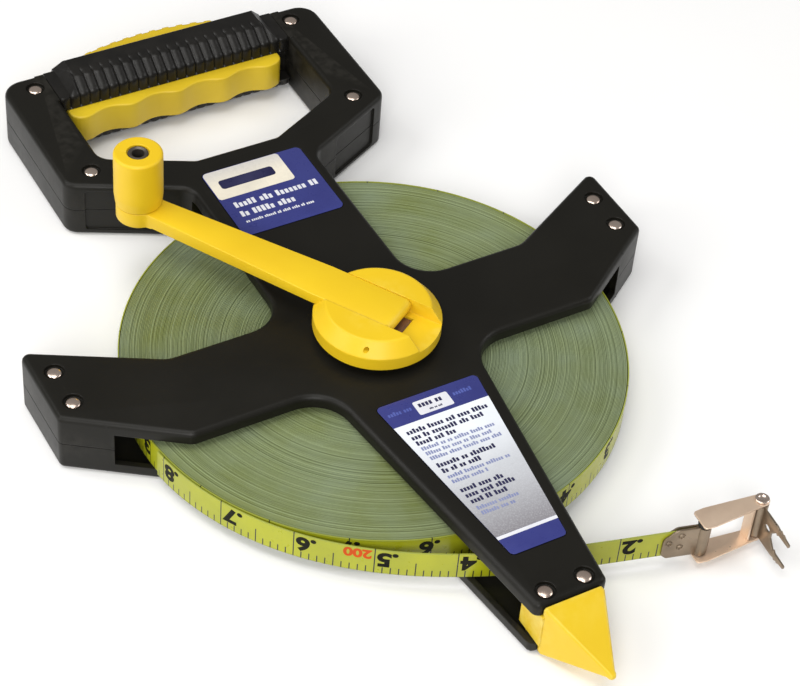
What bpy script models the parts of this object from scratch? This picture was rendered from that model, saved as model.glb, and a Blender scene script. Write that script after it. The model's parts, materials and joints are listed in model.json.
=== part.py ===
"""Surveyor's open tape reel: two X-shaped frame halves riveted round a wound tape, with a
folding crank, a cushioned grip, a ground spike at the nose and a hinged hook on the tape.

Dimensions are in millimetres and become metres in the helpers. The reel's axis is Z, the
rear frame's outer face is Z = 0, and the grip is at +Y. A point of the frame is named by
(across, forward): across is +X, and forward is the distance from the axis towards the nose.
"""

import math

import bmesh
import bpy
from mathutils import Matrix, Vector

MM = 0.001
GAP = 0.3                    # clearance between neighbouring pieces
NO_TURN = Matrix.Identity(4)
UPRIGHT = Matrix(((1, 0, 0, 0), (0, 0, -1, 0), (0, 1, 0, 0), (0, 0, 0, 1)))  # outline in X and Z
ALONG_X = Matrix(((0, 0, 1, 0), (1, 0, 0, 0), (0, 1, 0, 0), (0, 0, 0, 1)))   # outline in Y and Z

# Frame halves
THICKNESS = 27.0             # both halves together
PARTING = THICKNESS / 2
RIM = 5.5                    # height of a half's edge where the reel is open
SKIN = 2.5                   # wall thickness
EDGE = 2.2                   # rounding of the outer edges
HANDLE_BACK = -204.3
HANDLE_FRONT = -131.0
HANDLE_HALF = 75.5
OPENING_FRONT = -124.4
OPENING_HALF = 55.3
NECK_HALF = 29.0
NECK_TOP = -108.0
WAIST_BACK = -21.7
WAIST_FRONT = 19.8
ARM_REACH = 130.4
ARM_BACK = -49.0
ARM_FRONT = -9.0
ARM_BOX = 113.0              # beyond this the arm ends are closed boxes
HANDLE_BOX = -106.0          # behind this the handle is a closed box
NOSE_TIP = 147.0
NOSE_HALF = 15.06
NOSE_ROOT_HALF = 31.85
RIVETS = ((62.0, -195.8), (62.0, -135.6), (122.0, -32.7), (121.8, -15.1), (8.2, 141.4))
RIVET_SHANK = 1.6
RIVET_HEAD = 2.9
COUNTERBORE = 4.0
COUNTERBORE_DEPTH = 1.6
BOSS = 4.8
JAMB = (-1.2, 38.8)          # walls that close the arm boxes, along Y
PANEL_HALF = 14.0
PANEL_DEPTH = 0.9
PANEL_LOW, PANEL_HIGH = 3.0, 24.0
HUB_BOSS, HUB_BOSS_TOP = 19.5, 29.4
REAR_BOSS = 13.0
BEARING = 7.5
LABEL_DEPTH = 0.4
LABEL_THICKNESS = 0.25
LABEL_PROUD = 0.15
SPIKE_FOOT = -149.0
SPIKE_HALF = 12.25
SPIKE_LENGTH = 28.4

# Grip
GRIP_HALF = OPENING_HALF - GAP
BAR_BACK, BAR_FRONT = 201.5, 187.5   # the frame's bar through the sleeves, along Y
BAR_TOP, BAR_LOW = 26.0, 2.6
CORE_FRONT = -178.0
CORE_LEFT, CORE_RIGHT = -52.0, 49.5
CORE_CORNER = 2.5
CORE_LOW = 6.7
SCALLOP = 1.3
SCALLOP_PITCH = 22.0
PALM_BACK = -219.0
PALM_ROOT = -206.9
PALM_HALF = 47.5
PALM_LOW = 3.5
SLEEVE_TOP = 31.8

# Reel
TAPE_WIDTH = 12.7
TAPE_LOW = 5.85
ROLL_RADIUS = 101.0
ROLL_INNER = 39.0
DRUM_RADIUS = 38.6
SHAFT_RADIUS = 4.0
SHAFT_SQUARE = 9.0           # side of the square that turns the spool
SHAFT_LOW, SHAFT_SHOULDER, SHAFT_TOP = 3.2, 30.4, 32.3
SHAFT_HEAD = 5.8             # side of the square that turns the hub
BUSH = 7.2
HUB_RADIUS = 25.4
HUB_LOW = 30.75
HUB_SHOULDER = 36.55
HUB_TOP = 42.25
HUB_PLATEAU = 20.75
SLOT_HALF = 9.1
SLOT_FLOOR = 35.8
SPRING = (-14.2, -5.4, -5.6, 3.4, 34.6, 35.1)
SCREW_SEAT = 33.4

# Crank, along its own direction from the reel's axis
CRANK_ANGLE = math.radians(121.95)
PIN_ALONG = -7.3
PIN_HEIGHT = 39.05
PIN_RADIUS = 0.8
BARREL = 2.9
ARM_TOP = 41.95
ARM_UNDER = 37.25
ARM_HALF_INNER = 8.8
ARM_HALF_OUTER = 9.1         # half width where the arm leaves the hub
ARM_HALF_NECK = 5.7          # half width where it meets the pad
KNOB_ALONG = 111.2
KNOB_RADIUS = 10.0
KNOB_TOP = 67.25
PAD_RADIUS = 9.3
PAD_LOW = 35.05
KNOB_BORE = 3.8
TUBE_INNER, TUBE_OUTER = 2.6, 3.4

# Tape's free end
LEAVE_RADIUS = 101.6
LEAVE_ANGLE = math.radians(-171.75)
TAPE_HEADING = math.radians(-14.75)
EASING = 1.5
TAPE_THICKNESS = 0.45
FERRULE = (49.29, -131.28)   # where the ferrule starts, in X and Y
FERRULE_RISE = 1.0           # ferrule edge beyond the tape's edge
FERRULE_HALF = 1.15
FERRULE_RIVETS = ((8.3, 16.4), (3.6, 13.1), (8.2, 10.3))   # along the ferrule, and Z
KNUCKLE = 17.3
KNUCKLE_RADIUS = 2.6
KNUCKLE_PIN = 1.3
LINK_ANGLE = math.radians(-3.15)
LINK_LENGTH = 24.2
LINK_LOW = 3.6
LINK_HIGH = 23.6
LINK_FAR = 3.0
SHEET = 0.8
TUBE_PIN = 1.9
CLAW_ANGLE = math.radians(-95.6)
CLAW_LOW, CLAW_HIGH = 5.6, 21.9
CLAW_SHEET = 0.45

COLOURS = {
    "black_plastic": ((0.012, 0.012, 0.013), 0.45, 0.0),
    "black_grip": ((0.010, 0.010, 0.011), 0.6, 0.0),
    "yellow_plastic": ((0.90, 0.53, 0.02), 0.4, 0.0),
    "grip_yellow": ((0.78, 0.58, 0.02), 0.5, 0.0),
    "spike_yellow": ((0.92, 0.62, 0.03), 0.35, 0.0),
    "steel": ((0.62, 0.55, 0.47), 0.25, 1.0),
    "tape_side": ((0.25, 0.33, 0.14), 0.5, 0.0),
    "tape_face": ((0.60, 0.72, 0.06), 0.35, 0.0),
    "white_plastic": ((0.55, 0.55, 0.52), 0.5, 0.0),
    "black_rubber": ((0.010, 0.010, 0.010), 0.7, 0.0),
    "label_blue": ((0.02, 0.04, 0.25), 0.3, 0.0),
}


# ---------------------------------------------------------------- scene helpers

def clear_scene():
    for obj in list(bpy.data.objects):
        bpy.data.objects.remove(obj, do_unlink=True)


def new_collection(name):
    collection = bpy.data.collections.new(name)
    bpy.context.scene.collection.children.link(collection)
    return collection


def make_material(name):
    colour, roughness, metallic = COLOURS[name]
    material = bpy.data.materials.new(name)
    material.use_nodes = True
    shader = material.node_tree.nodes["Principled BSDF"]
    shader.inputs["Base Color"].default_value = (*colour, 1.0)
    shader.inputs["Roughness"].default_value = roughness
    shader.inputs["Metallic"].default_value = metallic
    material.diffuse_color = (*colour, 1.0)
    return material


def new_object(name, data, placing=NO_TURN):
    """Every object starts among the cutters, and finish() moves the real pieces out."""
    obj = bpy.data.objects.new(name, data)
    CUTTERS.objects.link(obj)
    obj.matrix_world = placing
    obj.hide_render = True
    obj.display_type = "WIRE"
    return obj


def finish(obj, material, parent=None):
    """Makes obj a piece of the reel."""
    CUTTERS.objects.unlink(obj)
    REEL.objects.link(obj)
    obj.hide_render = False
    obj.display_type = "TEXTURED"
    obj.data.materials.clear()
    obj.data.materials.append(MATERIALS[material])
    for polygon in obj.data.polygons:
        polygon.material_index = 0
    obj.data.shade_smooth()
    obj.data.set_sharp_from_angle(angle=math.radians(30))
    if parent:
        obj.parent = parent
        obj.matrix_parent_inverse = parent.matrix_basis.inverted()
    return obj


def axis_empty(name, x, y, z, parent=None):
    """An empty on a joint's axis, which carries the pieces that move with it."""
    empty = bpy.data.objects.new(name, None)
    REEL.objects.link(empty)
    empty.empty_display_size = 10 * MM
    empty.matrix_basis = Matrix.Translation(Vector((x, y, z)) * MM)
    if parent:
        empty.parent = parent
        empty.matrix_parent_inverse = parent.matrix_basis.inverted()
    return empty


def frame_at(x, y, angle=0.0):
    """A placing whose local X points along angle."""
    return Matrix.Translation(Vector((x, y, 0)) * MM) @ Matrix.Rotation(angle, 4, "Z")


# ---------------------------------------------------------------- outlines

def rounded(corners, steps=3):
    """A closed outline through (x, y, radius) corners, with each corner an arc."""
    points = []
    for i, (x, y, radius) in enumerate(corners):
        corner = Vector((x, y))
        if not radius:
            points.append(corner)
            continue
        back = (Vector(corners[i - 1][:2]) - corner).normalized()
        ahead = (Vector(corners[(i + 1) % len(corners)][:2]) - corner).normalized()
        half = back.angle(ahead) / 2
        centre = corner + (back + ahead).normalized() * radius / math.sin(half)
        reach = radius / math.tan(half)
        first = corner + back * reach - centre
        last = corner + ahead * reach - centre
        start = math.atan2(first.y, first.x)
        turn = (math.atan2(last.y, last.x) - start + math.pi) % math.tau - math.pi
        for k in range(steps + 1):
            angle = start + turn * k / steps
            points.append(centre + radius * Vector((math.cos(angle), math.sin(angle))))
    return points


def inset(corners, distance):
    """The corners moved inwards by distance, for an outline that runs anticlockwise."""
    moved = []
    for i, (x, y, radius) in enumerate(corners):
        corner = Vector((x, y))
        before = (corner - Vector(corners[i - 1][:2])).normalized()
        after = (Vector(corners[(i + 1) % len(corners)][:2]) - corner).normalized()
        normals = [Vector((-edge.y, edge.x)) for edge in (before, after)]
        shift = (normals[0] + normals[1]) / (1 + normals[0].dot(normals[1]))
        convex = before.x * after.y - before.y * after.x > 0
        change = -distance if convex else distance
        place = corner + shift * distance
        moved.append((place.x, place.y, max(radius + change, 0.5)))
    return moved


def circle(x, y, radius, sides=16):
    angles = [math.tau * k / sides for k in range(sides)]
    return [Vector((x + radius * math.cos(a), y + radius * math.sin(a))) for a in angles]


def rectangle(x0, x1, y0, y1, radius=0.0):
    return rounded([(x0, y0, radius), (x1, y0, radius), (x1, y1, radius), (x0, y1, radius)])


# ---------------------------------------------------------------- solids

def prism(name, loops, low, high, edge=0.0, placing=NO_TURN):
    """A flat outline given thickness, with its edges rounded if edge is set. Inner loops are
    holes. It is made as a filled 2D curve and turned into a mesh, so that it can be cut."""
    curve = bpy.data.curves.new(name, "CURVE")
    curve.dimensions = "2D"
    curve.fill_mode = "BOTH"
    curve.extrude = (abs(high - low) / 2 - edge) * MM
    curve.bevel_depth = edge * MM
    curve.bevel_resolution = 0
    curve.offset = -edge * MM
    for loop in loops:
        spline = curve.splines.new("POLY")
        spline.points.add(len(loop) - 1)
        for point, place in zip(spline.points, loop):
            point.co = (place[0] * MM, place[1] * MM, 0, 1)
        spline.use_cyclic_u = True
    middle = Matrix.Translation((0, 0, (low + high) / 2 * MM))
    guide = new_object(name, curve)
    bpy.context.view_layer.update()
    graph = bpy.context.evaluated_depsgraph_get()
    mesh = bpy.data.meshes.new_from_object(guide.evaluated_get(graph))
    bpy.data.objects.remove(guide)
    bpy.data.curves.remove(curve)
    mesh.name = name
    shape = bmesh.new()
    shape.from_mesh(mesh)
    bmesh.ops.remove_doubles(shape, verts=shape.verts, dist=1e-6)
    if len(loops) == 1:
        single_caps(shape)
    bmesh.ops.transform(shape, matrix=middle, verts=shape.verts)
    bmesh.ops.recalc_face_normals(shape, faces=shape.faces)
    shape.to_mesh(mesh)
    shape.free()
    return new_object(name, mesh, placing)


def single_caps(shape):
    """Makes each end of a prism one face, in place of the curve's triangles."""
    reach = max(vert.co.z for vert in shape.verts) - 1e-7
    caps = [face for face in shape.faces if abs(sum(v.co.z for v in face.verts))
            > reach * len(face.verts)]
    bmesh.ops.delete(shape, geom=caps, context="FACES")
    loose = [edge for edge in shape.edges if edge.is_wire]
    bmesh.ops.delete(shape, geom=loose, context="EDGES")
    bmesh.ops.holes_fill(shape, edges=[e for e in shape.edges if e.is_boundary], sides=0)


def blocks(name, boxes, placing=NO_TURN):
    """Separate boxes (x0, x1, y0, y1, z0, z1) as one mesh."""
    shape = bmesh.new()
    for x0, x1, y0, y1, z0, z1 in boxes:
        centre = Vector((x0 + x1, y0 + y1, z0 + z1)) * MM / 2
        size = Matrix.Diagonal((*(Vector((x1 - x0, y1 - y0, z1 - z0)) * MM), 1))
        bmesh.ops.create_cube(shape, size=1, matrix=Matrix.Translation(centre) @ size)
    return from_bmesh(name, shape, placing)


def rods(name, centres, radius, low, high, sides=16, placing=NO_TURN):
    """Separate upright cylinders as one mesh."""
    shape = bmesh.new()
    for x, y in centres:
        middle = Matrix.Translation(Vector((x, y, (low + high) / 2)) * MM)
        bmesh.ops.create_cone(
            shape, cap_ends=True, segments=sides, matrix=middle,
            radius1=radius * MM, radius2=radius * MM, depth=abs(high - low) * MM,
        )
    return from_bmesh(name, shape, placing)


def from_bmesh(name, shape, placing):
    mesh = bpy.data.meshes.new(name)
    shape.to_mesh(mesh)
    shape.free()
    return new_object(name, mesh, placing)


def turned(name, profile, sides, placing=NO_TURN, ring=False):
    """A profile of (radius, height) points, from the top down its outer side, turned about
    Z. A ring's profile closes on itself and stays off the axis."""
    mesh = bpy.data.meshes.new(name)
    points = [(radius * MM, 0, height * MM) for radius, height in profile]
    edges = [(k, k + 1) for k in range(len(points) - 1)]
    if ring:
        edges.append((len(points) - 1, 0))
    mesh.from_pydata(points, edges, [])
    obj = new_object(name, mesh, placing)
    screw = obj.modifiers.new("turn", "SCREW")
    screw.steps = sides
    screw.render_steps = sides
    screw.use_merge_vertices = True
    screw.merge_threshold = 1e-5
    return obj


def combine(target, operation, *others):
    for other in others:
        boolean = target.modifiers.new(other.name, "BOOLEAN")
        boolean.operation = operation
        boolean.object = other
        boolean.solver = "EXACT"
    return target


def cut(target, *others):
    return combine(target, "DIFFERENCE", *others)


def add(target, *others):
    return combine(target, "UNION", *others)


# ---------------------------------------------------------------- frame halves

def frame_corners():
    """Corners of a frame half as (X, Y, radius), anticlockwise seen from the front."""
    side = [
        (19.0, OPENING_FRONT, 6.0),
        (OPENING_HALF, -142.1, 8.0),
        (OPENING_HALF, HANDLE_BACK, 3.0),
        (HANDLE_HALF, HANDLE_BACK, 9.0),
        (HANDLE_HALF, HANDLE_FRONT, 7.0),
        (NECK_HALF, NECK_TOP, 8.0),
        (NECK_HALF, WAIST_BACK, 15.0),
        (79.5, WAIST_BACK, 10.0),
        (ARM_REACH, ARM_BACK, 3.0),
        (ARM_REACH, ARM_FRONT, 3.0),
        (88.3, WAIST_FRONT, 6.0),
        (NOSE_ROOT_HALF, WAIST_FRONT, 16.0),
        (NOSE_HALF, NOSE_TIP, 3.0),
    ]
    right = [(across, -forward, radius) for across, forward, radius in side]
    left = [(-x, y, radius) for x, y, radius in right]
    return left + right[::-1]


def rivet_places():
    return [(sign * across, -forward) for across, forward in RIVETS for sign in (1, -1)]


def nose_side(forward):
    """Half width of the nose."""
    share = (forward - WAIST_FRONT) / (NOSE_TIP - WAIST_FRONT)
    return NOSE_ROOT_HALF + share * (NOSE_HALF - NOSE_ROOT_HALF)


def panel_cutters(side):
    """A shallow recess in each slanted side wall of the handle, as deep as the two halves."""
    start = Vector((HANDLE_HALF, -HANDLE_FRONT))
    end = Vector((NECK_HALF, -NECK_TOP))
    along = (end - start).normalized()
    middle = start.lerp(end, 0.42)
    angle = math.atan2(along.y, along.x)
    panels = []
    for sign in (1, -1):
        placing = frame_at(sign * middle.x, middle.y, angle if sign > 0 else math.pi - angle)
        recess = (-PANEL_HALF, PANEL_HALF, -PANEL_DEPTH, PANEL_DEPTH, PANEL_LOW, PANEL_HIGH)
        panels.append(blocks(f"{side}_panel_{sign}", [recess], placing))
    return panels


def frame_half(name, front):
    """One half, drawn as the front one. The rear one is its mirror image across the parting
    plane, apart from the middle: the front has an open bearing, the rear a blind one."""
    def height(z):
        return z if front else THICKNESS - z

    def span(low, high):
        return sorted((height(low), height(high)))

    far = 3 * ARM_REACH
    corners = frame_corners()
    inner_face = THICKNESS - RIM
    joint_face = PARTING + GAP / 2
    depth = THICKNESS - joint_face + 2 * EDGE
    half = prism(name, [rounded(corners)], *span(THICKNESS - depth, THICKNESS), EDGE)
    cut(half, blocks(f"{name}_parting", [(-far, far, -far, far, *span(0, joint_face))]))
    open_part = (-ARM_BOX, ARM_BOX, -far, -HANDLE_BOX, *span(joint_face - 5, inner_face))
    cut(half, blocks(f"{name}_open_part", [open_part]))
    hollow = prism(
        f"{name}_hollow", [rounded(inset(corners, SKIN))], *span(0, THICKNESS - SKIN)
    )
    cut(half, hollow)

    roof = THICKNESS - SKIN / 2
    wall_y = -HANDLE_BOX
    walls = [(-NECK_HALF + 0.8, NECK_HALF - 0.8, wall_y, wall_y + SKIN, *span(joint_face, roof))]
    for sign in (1, -1):
        jamb = sorted((sign * ARM_BOX, sign * (ARM_BOX + SKIN)))
        walls.append((*jamb, *JAMB, *span(joint_face, roof)))
    add(half, blocks(f"{name}_walls", walls))
    grip_bar = (-OPENING_HALF - 1, OPENING_HALF + 1, BAR_FRONT, BAR_BACK)
    bar_top = BAR_TOP if front else THICKNESS - BAR_LOW
    bar_low = THICKNESS - CORE_LOW + GAP
    add(half, blocks(f"{name}_grip_bar", [(*grip_bar, *span(bar_low, bar_top))]))

    places = rivet_places()
    add(half, rods(f"{name}_bosses", places[:-2], BOSS, *span(joint_face, roof), 12))
    add(half, rods(f"{name}_nose_bosses", places[-2:], BOSS, *span(inner_face, roof), 12))
    if front:
        add(half, rods(f"{name}_hub_boss", [(0, 0)], HUB_BOSS, inner_face, HUB_BOSS_TOP, 36))
        cut(half, rods(f"{name}_bearing", [(0, 0)], BEARING, 0, HUB_TOP, 24))
    else:
        add(half, rods(f"{name}_hub_boss", [(0, 0)], REAR_BOSS, SKIN / 2, RIM - 0.1, 32))
        cut(half, rods(f"{name}_bearing", [(0, 0)], BEARING, SKIN + 0.1, THICKNESS, 24))
    cut(half, rods(f"{name}_bores", places, RIVET_SHANK + GAP, -1, THICKNESS + 1, 8))
    seat = span(THICKNESS - COUNTERBORE_DEPTH, THICKNESS + 1)
    cut(half, rods(f"{name}_counterbores", places, COUNTERBORE, *seat, 14))
    cut(half, *panel_cutters(name))
    return half


def label_corners():
    """Upper label on the neck and lower label on the nose, as (X, Y, radius) corners."""
    upper = [(-22, 71.6, 2.5), (24, 71.6, 2.5), (24, 114, 2.5), (-22, 114, 2.5)]
    lower = [(-10.6, -122.4, 2), (12.8, -122.4, 2), (23.9, -37, 2), (-20.6, -37, 2)]
    return {"upper_label": upper, "lower_label": lower}


def make_frames():
    front = frame_half("front_frame", True)
    for name, corners in label_corners().items():
        seat = rounded(inset(corners, -GAP))
        cut(front, prism(f"{name}_seat", [seat], THICKNESS - LABEL_DEPTH, THICKNESS + 1))
        top = THICKNESS + LABEL_PROUD
        label = prism(name, [rounded(corners)], top - LABEL_THICKNESS, top)
        finish(label, "label_blue")
    finish(front, "black_plastic")
    finish(frame_half("rear_frame", False), "black_plastic")


def make_rivets():
    """Ten rivets, whose domed heads lie in the counterbores of both halves."""
    seat = THICKNESS - COUNTERBORE_DEPTH + GAP
    dome = [(RIVET_HEAD * math.sin(a), seat + 0.3 + 0.9 * math.cos(a)) for a in
            (math.radians(k) for k in (0, 35, 65, 90))]
    upper = dome + [(RIVET_HEAD, seat), (RIVET_SHANK, seat)]
    lower = [(radius, THICKNESS - z) for radius, z in reversed(upper)]
    names = [f"{place}_rivet_{side}" for place in
             ("handle_rear", "handle_front", "arm_rear", "arm_front", "nose")
             for side in ("right", "left")]
    for name, (x, y) in zip(names, rivet_places()):
        finish(turned(name, upper + lower, 12, frame_at(x, y)), "steel")


def make_spike():
    """Ground spike: a block held between the halves and a square pyramid outside them."""
    half = nose_side(141) - 3
    low, high = RIM + GAP, THICKNESS - RIM - GAP
    spike = blocks("nose_spike", [(-half, half, SPIKE_FOOT, SPIKE_FOOT + 14, low, high)])
    base = SPIKE_HALF
    shape = bmesh.new()
    bmesh.ops.create_cone(
        shape, cap_ends=True, segments=4, radius1=base * math.sqrt(2) * MM,
        radius2=0.5 * MM, depth=SPIKE_LENGTH * MM,
        matrix=Matrix.Rotation(math.pi / 2, 4, "X") @ Matrix.Rotation(math.pi / 4, 4, "Z"),
    )
    centre = Vector((0, SPIKE_FOOT - SPIKE_LENGTH / 2, PARTING)) * MM
    pyramid = from_bmesh("spike_pyramid", shape, Matrix.Translation(centre))
    plate = (-base, base, SPIKE_FOOT - 0.5, -NOSE_TIP - 0.6, PARTING - base, PARTING + base)
    add(spike, blocks("spike_base", [plate]), pyramid)
    cut(spike, rods("spike_bores", rivet_places()[-2:], RIVET_SHANK + GAP, 0, 30, 10))
    finish(spike, "spike_yellow")


# ---------------------------------------------------------------- grip

def core_outline():
    """Finger scallops in front, and a back that reaches into the palm swell."""
    count = 36
    start, end = CORE_LEFT + CORE_CORNER, CORE_RIGHT - CORE_CORNER
    points = []
    for k in range(count + 1):
        across = start + (end - start) * k / count
        wave = SCALLOP * math.cos(math.tau * (across + 2) / SCALLOP_PITCH)
        points.append(Vector((across, -CORE_FRONT - wave)))
    side, root, neck = -CORE_FRONT + CORE_CORNER, -PALM_ROOT, PALM_HALF - 2
    back = [(CORE_RIGHT, side), (CORE_RIGHT, root), (neck, root), (neck, root + 4)]
    back += [(-neck, root + 4), (-neck, root), (CORE_LEFT, root), (CORE_LEFT, side)]
    return points + [Vector(place) for place in back]


def palm_outline():
    """The swell behind the sleeves, for the palm."""
    count = 16
    root = -PALM_ROOT + 0.1
    sag = (-PALM_BACK - root - 3) / PALM_HALF**2
    arc = []
    for k in range(count + 1):
        across = PALM_HALF * (1 - 2 * k / count)
        arc.append(Vector((across, -PALM_BACK - sag * across**2)))
    return [Vector((-PALM_HALF, root)), Vector((PALM_HALF, root))] + arc


def sleeve(name, outer, bar, face, crest):
    """A sleeve: a profile in (Y, Z) drawn along X, hollowed for the frame's bar. Its ends
    slope from the frame's face to the crest, each given as (half length, Z)."""
    body = prism(name, [outer], -GRIP_HALF, GRIP_HALF, 0.0, ALONG_X)
    cut(body, prism(f"{name}_channel", [bar], -HANDLE_HALF, HANDLE_HALF, 0.0, ALONG_X))
    (far, start), (near, end) = face, crest
    beyond = 2 * end - start
    for sign in (1, -1):
        wedge = [(far, start), (HANDLE_HALF, start), (HANDLE_HALF, beyond),
                 (2 * near - far, beyond)]
        outline = [Vector((sign * across, z)) for across, z in wedge]
        cut(body, prism(f"{name}_end_{sign}", [outline], PALM_BACK, HANDLE_FRONT, 0.0, UPRIGHT))
    return body


def make_grip():
    high = THICKNESS - CORE_LOW
    core = prism("grip_core", [core_outline()], CORE_LOW, high, 0.8)
    palm = prism("palm_swell", [palm_outline()], PALM_LOW, THICKNESS - PALM_LOW, 1.5)
    add(core, palm)
    finish(core, "grip_yellow")

    seat = high + GAP
    front = rounded([
        (183.6, seat, 0), (206.6, seat, 0), (206.4, 25.0, 1), (203.4, SLEEVE_TOP, 1.2),
        (191.0, SLEEVE_TOP, 3), (183.8, 27.0, 3),
    ], 2)
    bar = rectangle(BAR_FRONT - GAP, BAR_BACK + GAP, seat - 3, BAR_TOP + GAP)
    piece = sleeve("grip_sleeve_front", front, bar, (50.0, THICKNESS), (45.4, SLEEVE_TOP))
    finish(piece, "black_grip")

    seat = CORE_LOW - GAP
    rear = rounded([
        (181.0, seat, 0), (181.4, 3.0, 1), (184.5, 0.2, 1), (203.4, 0.2, 1),
        (206.4, 2.6, 1), (206.6, seat, 0),
    ], 2)
    bar = rectangle(BAR_FRONT - GAP, BAR_BACK + GAP, BAR_LOW - GAP, seat + 3)
    piece = sleeve("grip_sleeve_rear", rear, bar, (54.0, 3.2), (51.0, 0.2))
    finish(piece, "black_grip")


# ---------------------------------------------------------------- reel

def make_reel(axis):
    tape_high = TAPE_LOW + TAPE_WIDTH
    drum_low, drum_high = TAPE_LOW + 0.1, tape_high - 0.1
    roll = [(ROLL_RADIUS, tape_high), (ROLL_RADIUS, TAPE_LOW),
            (ROLL_INNER, TAPE_LOW), (ROLL_INNER, tape_high)]
    finish(turned("tape_roll", roll, 64, ring=True), "tape_side", axis)

    drum = [(0, drum_high), (12, drum_high), (12, 9.5), (35.5, 9.5), (35.5, drum_high),
            (DRUM_RADIUS, drum_high), (DRUM_RADIUS, drum_low), (0, drum_low)]
    core = turned("spool_core", drum, 32)
    square = SHAFT_SQUARE / 2 + GAP
    cut(core, blocks("core_socket", [(-square, square, -square, square, 0, 30)]))
    cut(core, blocks("anchor_window", [(33, 45, -5, 5, 9.8, 15.8)]))
    finish(core, "white_plastic", axis)
    finish(blocks("tape_anchor", [(34.0, 38.4, -4.6, 4.6, 10.2, 15.4)]), "steel", axis)

    half, head = SHAFT_SQUARE / 2, SHAFT_HEAD / 2
    shaft = turned("spindle", [(0, SHAFT_SHOULDER), (SHAFT_RADIUS, SHAFT_SHOULDER),
                               (SHAFT_RADIUS, SHAFT_LOW), (0, SHAFT_LOW)], 24)
    square = (-half, half, -half, half, drum_low, tape_high - 0.35)
    add(shaft, blocks("spindle_square", [square]))
    top = (-head, head, -head, head, SHAFT_SHOULDER - 1.4, SHAFT_TOP)
    add(shaft, blocks("spindle_top", [top]))
    cut(shaft, rods("spindle_thread", [(0, 0)], 1.8, 22, 40, 12))
    finish(shaft, "steel", axis)

    inner = SHAFT_RADIUS + GAP
    spacer = [(8, 21.2), (8, 18.8), (inner, 18.8), (inner, 21.2)]
    finish(turned("spindle_spacer", spacer, 24, ring=True), "white_plastic", axis)
    flange = HUB_BOSS_TOP + GAP
    front = [(9.5, HUB_LOW - GAP), (9.5, flange), (BUSH, flange), (BUSH, 21.7), (inner, 21.7),
             (inner, HUB_LOW - GAP)]
    finish(turned("front_bush", front, 24, ring=True), "white_plastic")
    rear = [(BUSH, 5.3), (BUSH, 2.9), (inner, 2.9), (inner, 5.3)]
    finish(turned("rear_bush", rear, 24, ring=True), "white_plastic")


def make_hub(axis):
    crank = frame_at(0, 0, CRANK_ANGLE)
    profile = [(0, HUB_TOP), (HUB_PLATEAU, HUB_TOP), (HUB_RADIUS, HUB_SHOULDER),
               (HUB_RADIUS, HUB_LOW), (0, HUB_LOW)]
    hub = turned("crank_hub", profile, 40, crank)
    far = HUB_RADIUS + 5
    slot = (-far, far, -SLOT_HALF, SLOT_HALF, SLOT_FLOOR, HUB_TOP + 5)
    cut(hub, blocks("hub_slot", [slot], crank))
    x0, x1, y0, y1, z0, _ = SPRING
    pocket = (x0 - 0.4, x1 + 0.4, y0 - 0.4, y1 + 0.4, z0 - 0.4, SLOT_FLOOR + 1)
    cut(hub, blocks("hub_spring_pocket", [pocket], crank))
    socket = SHAFT_HEAD / 2 + GAP
    cut(hub, blocks("hub_socket", [(-socket, socket, -socket, socket, 20, SHAFT_TOP + GAP)]))
    cut(hub, rods("hub_screw_seat", [(0, 0)], 4.2, SCREW_SEAT, 38, 20))
    cut(hub, rods("hub_screw_bore", [(0, 0)], 1.9, HUB_LOW, SCREW_SEAT + 0.5, 12))
    cut(hub, pin_rod("hub_pin_bore", PIN_RADIUS + GAP, -17.5, 30, 12))
    finish(hub, "yellow_plastic", axis)

    under = SCREW_SEAT + GAP
    screw = [(0, 35.2), (2.4, 35.2), (3.9, 34.5), (3.9, under), (1.5, under), (1.5, 24), (0, 24)]
    finish(turned("hub_screw", screw, 16), "steel", axis)
    spring = blocks("crank_leaf_spring", [SPRING], crank)
    finish(spring, "steel", axis)
    finish(pin_rod("crank_hinge_pin", PIN_RADIUS, -17.0, 19.0, 12), "steel", axis)


def pin_rod(name, radius, start, end, sides):
    """A cylinder on the crank's hinge axis, from start to end across the crank."""
    across = Matrix.Rotation(-math.pi / 2, 4, "X")
    place = Matrix.Translation(Vector((PIN_ALONG, 0, PIN_HEIGHT)) * MM)
    placing = frame_at(0, 0, CRANK_ANGLE) @ place @ across
    return rods(name, [(0, 0)], radius, start, end, sides, placing)


# ---------------------------------------------------------------- crank

def arm_outline():
    """Top view of the arm, along its length and across."""
    side = [(HUB_RADIUS, ARM_HALF_OUTER), (102.8, ARM_HALF_NECK)]
    pad = [KNOB_ALONG + PAD_RADIUS * math.cos(math.radians(a)) for a in range(140, -1, -20)]
    rise = [PAD_RADIUS * math.sin(math.radians(a)) for a in range(140, -1, -20)]
    upper = [(PIN_ALONG - BARREL, ARM_HALF_INNER)] + side + list(zip(pad, rise))
    lower = [(s, -t) for s, t in reversed(upper[:-1])]
    return [Vector(point) for point in lower + upper]


def arm_side():
    """Side view: a barrel about the hinge pin, a level top and a pad under the knob."""
    barrel = []
    for a in range(90, 301, 30):
        angle = math.radians(a)
        barrel.append((PIN_ALONG + BARREL * math.cos(angle), PIN_HEIGHT + BARREL * math.sin(angle)))
    under = [(-3.0, ARM_UNDER), (24.0, ARM_UNDER), (101.0, PAD_LOW + 0.6), (102.0, PAD_LOW)]
    end = KNOB_ALONG + PAD_RADIUS + 1
    return [Vector(point) for point in barrel + under + [(end, PAD_LOW), (end, ARM_TOP)]]


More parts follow.
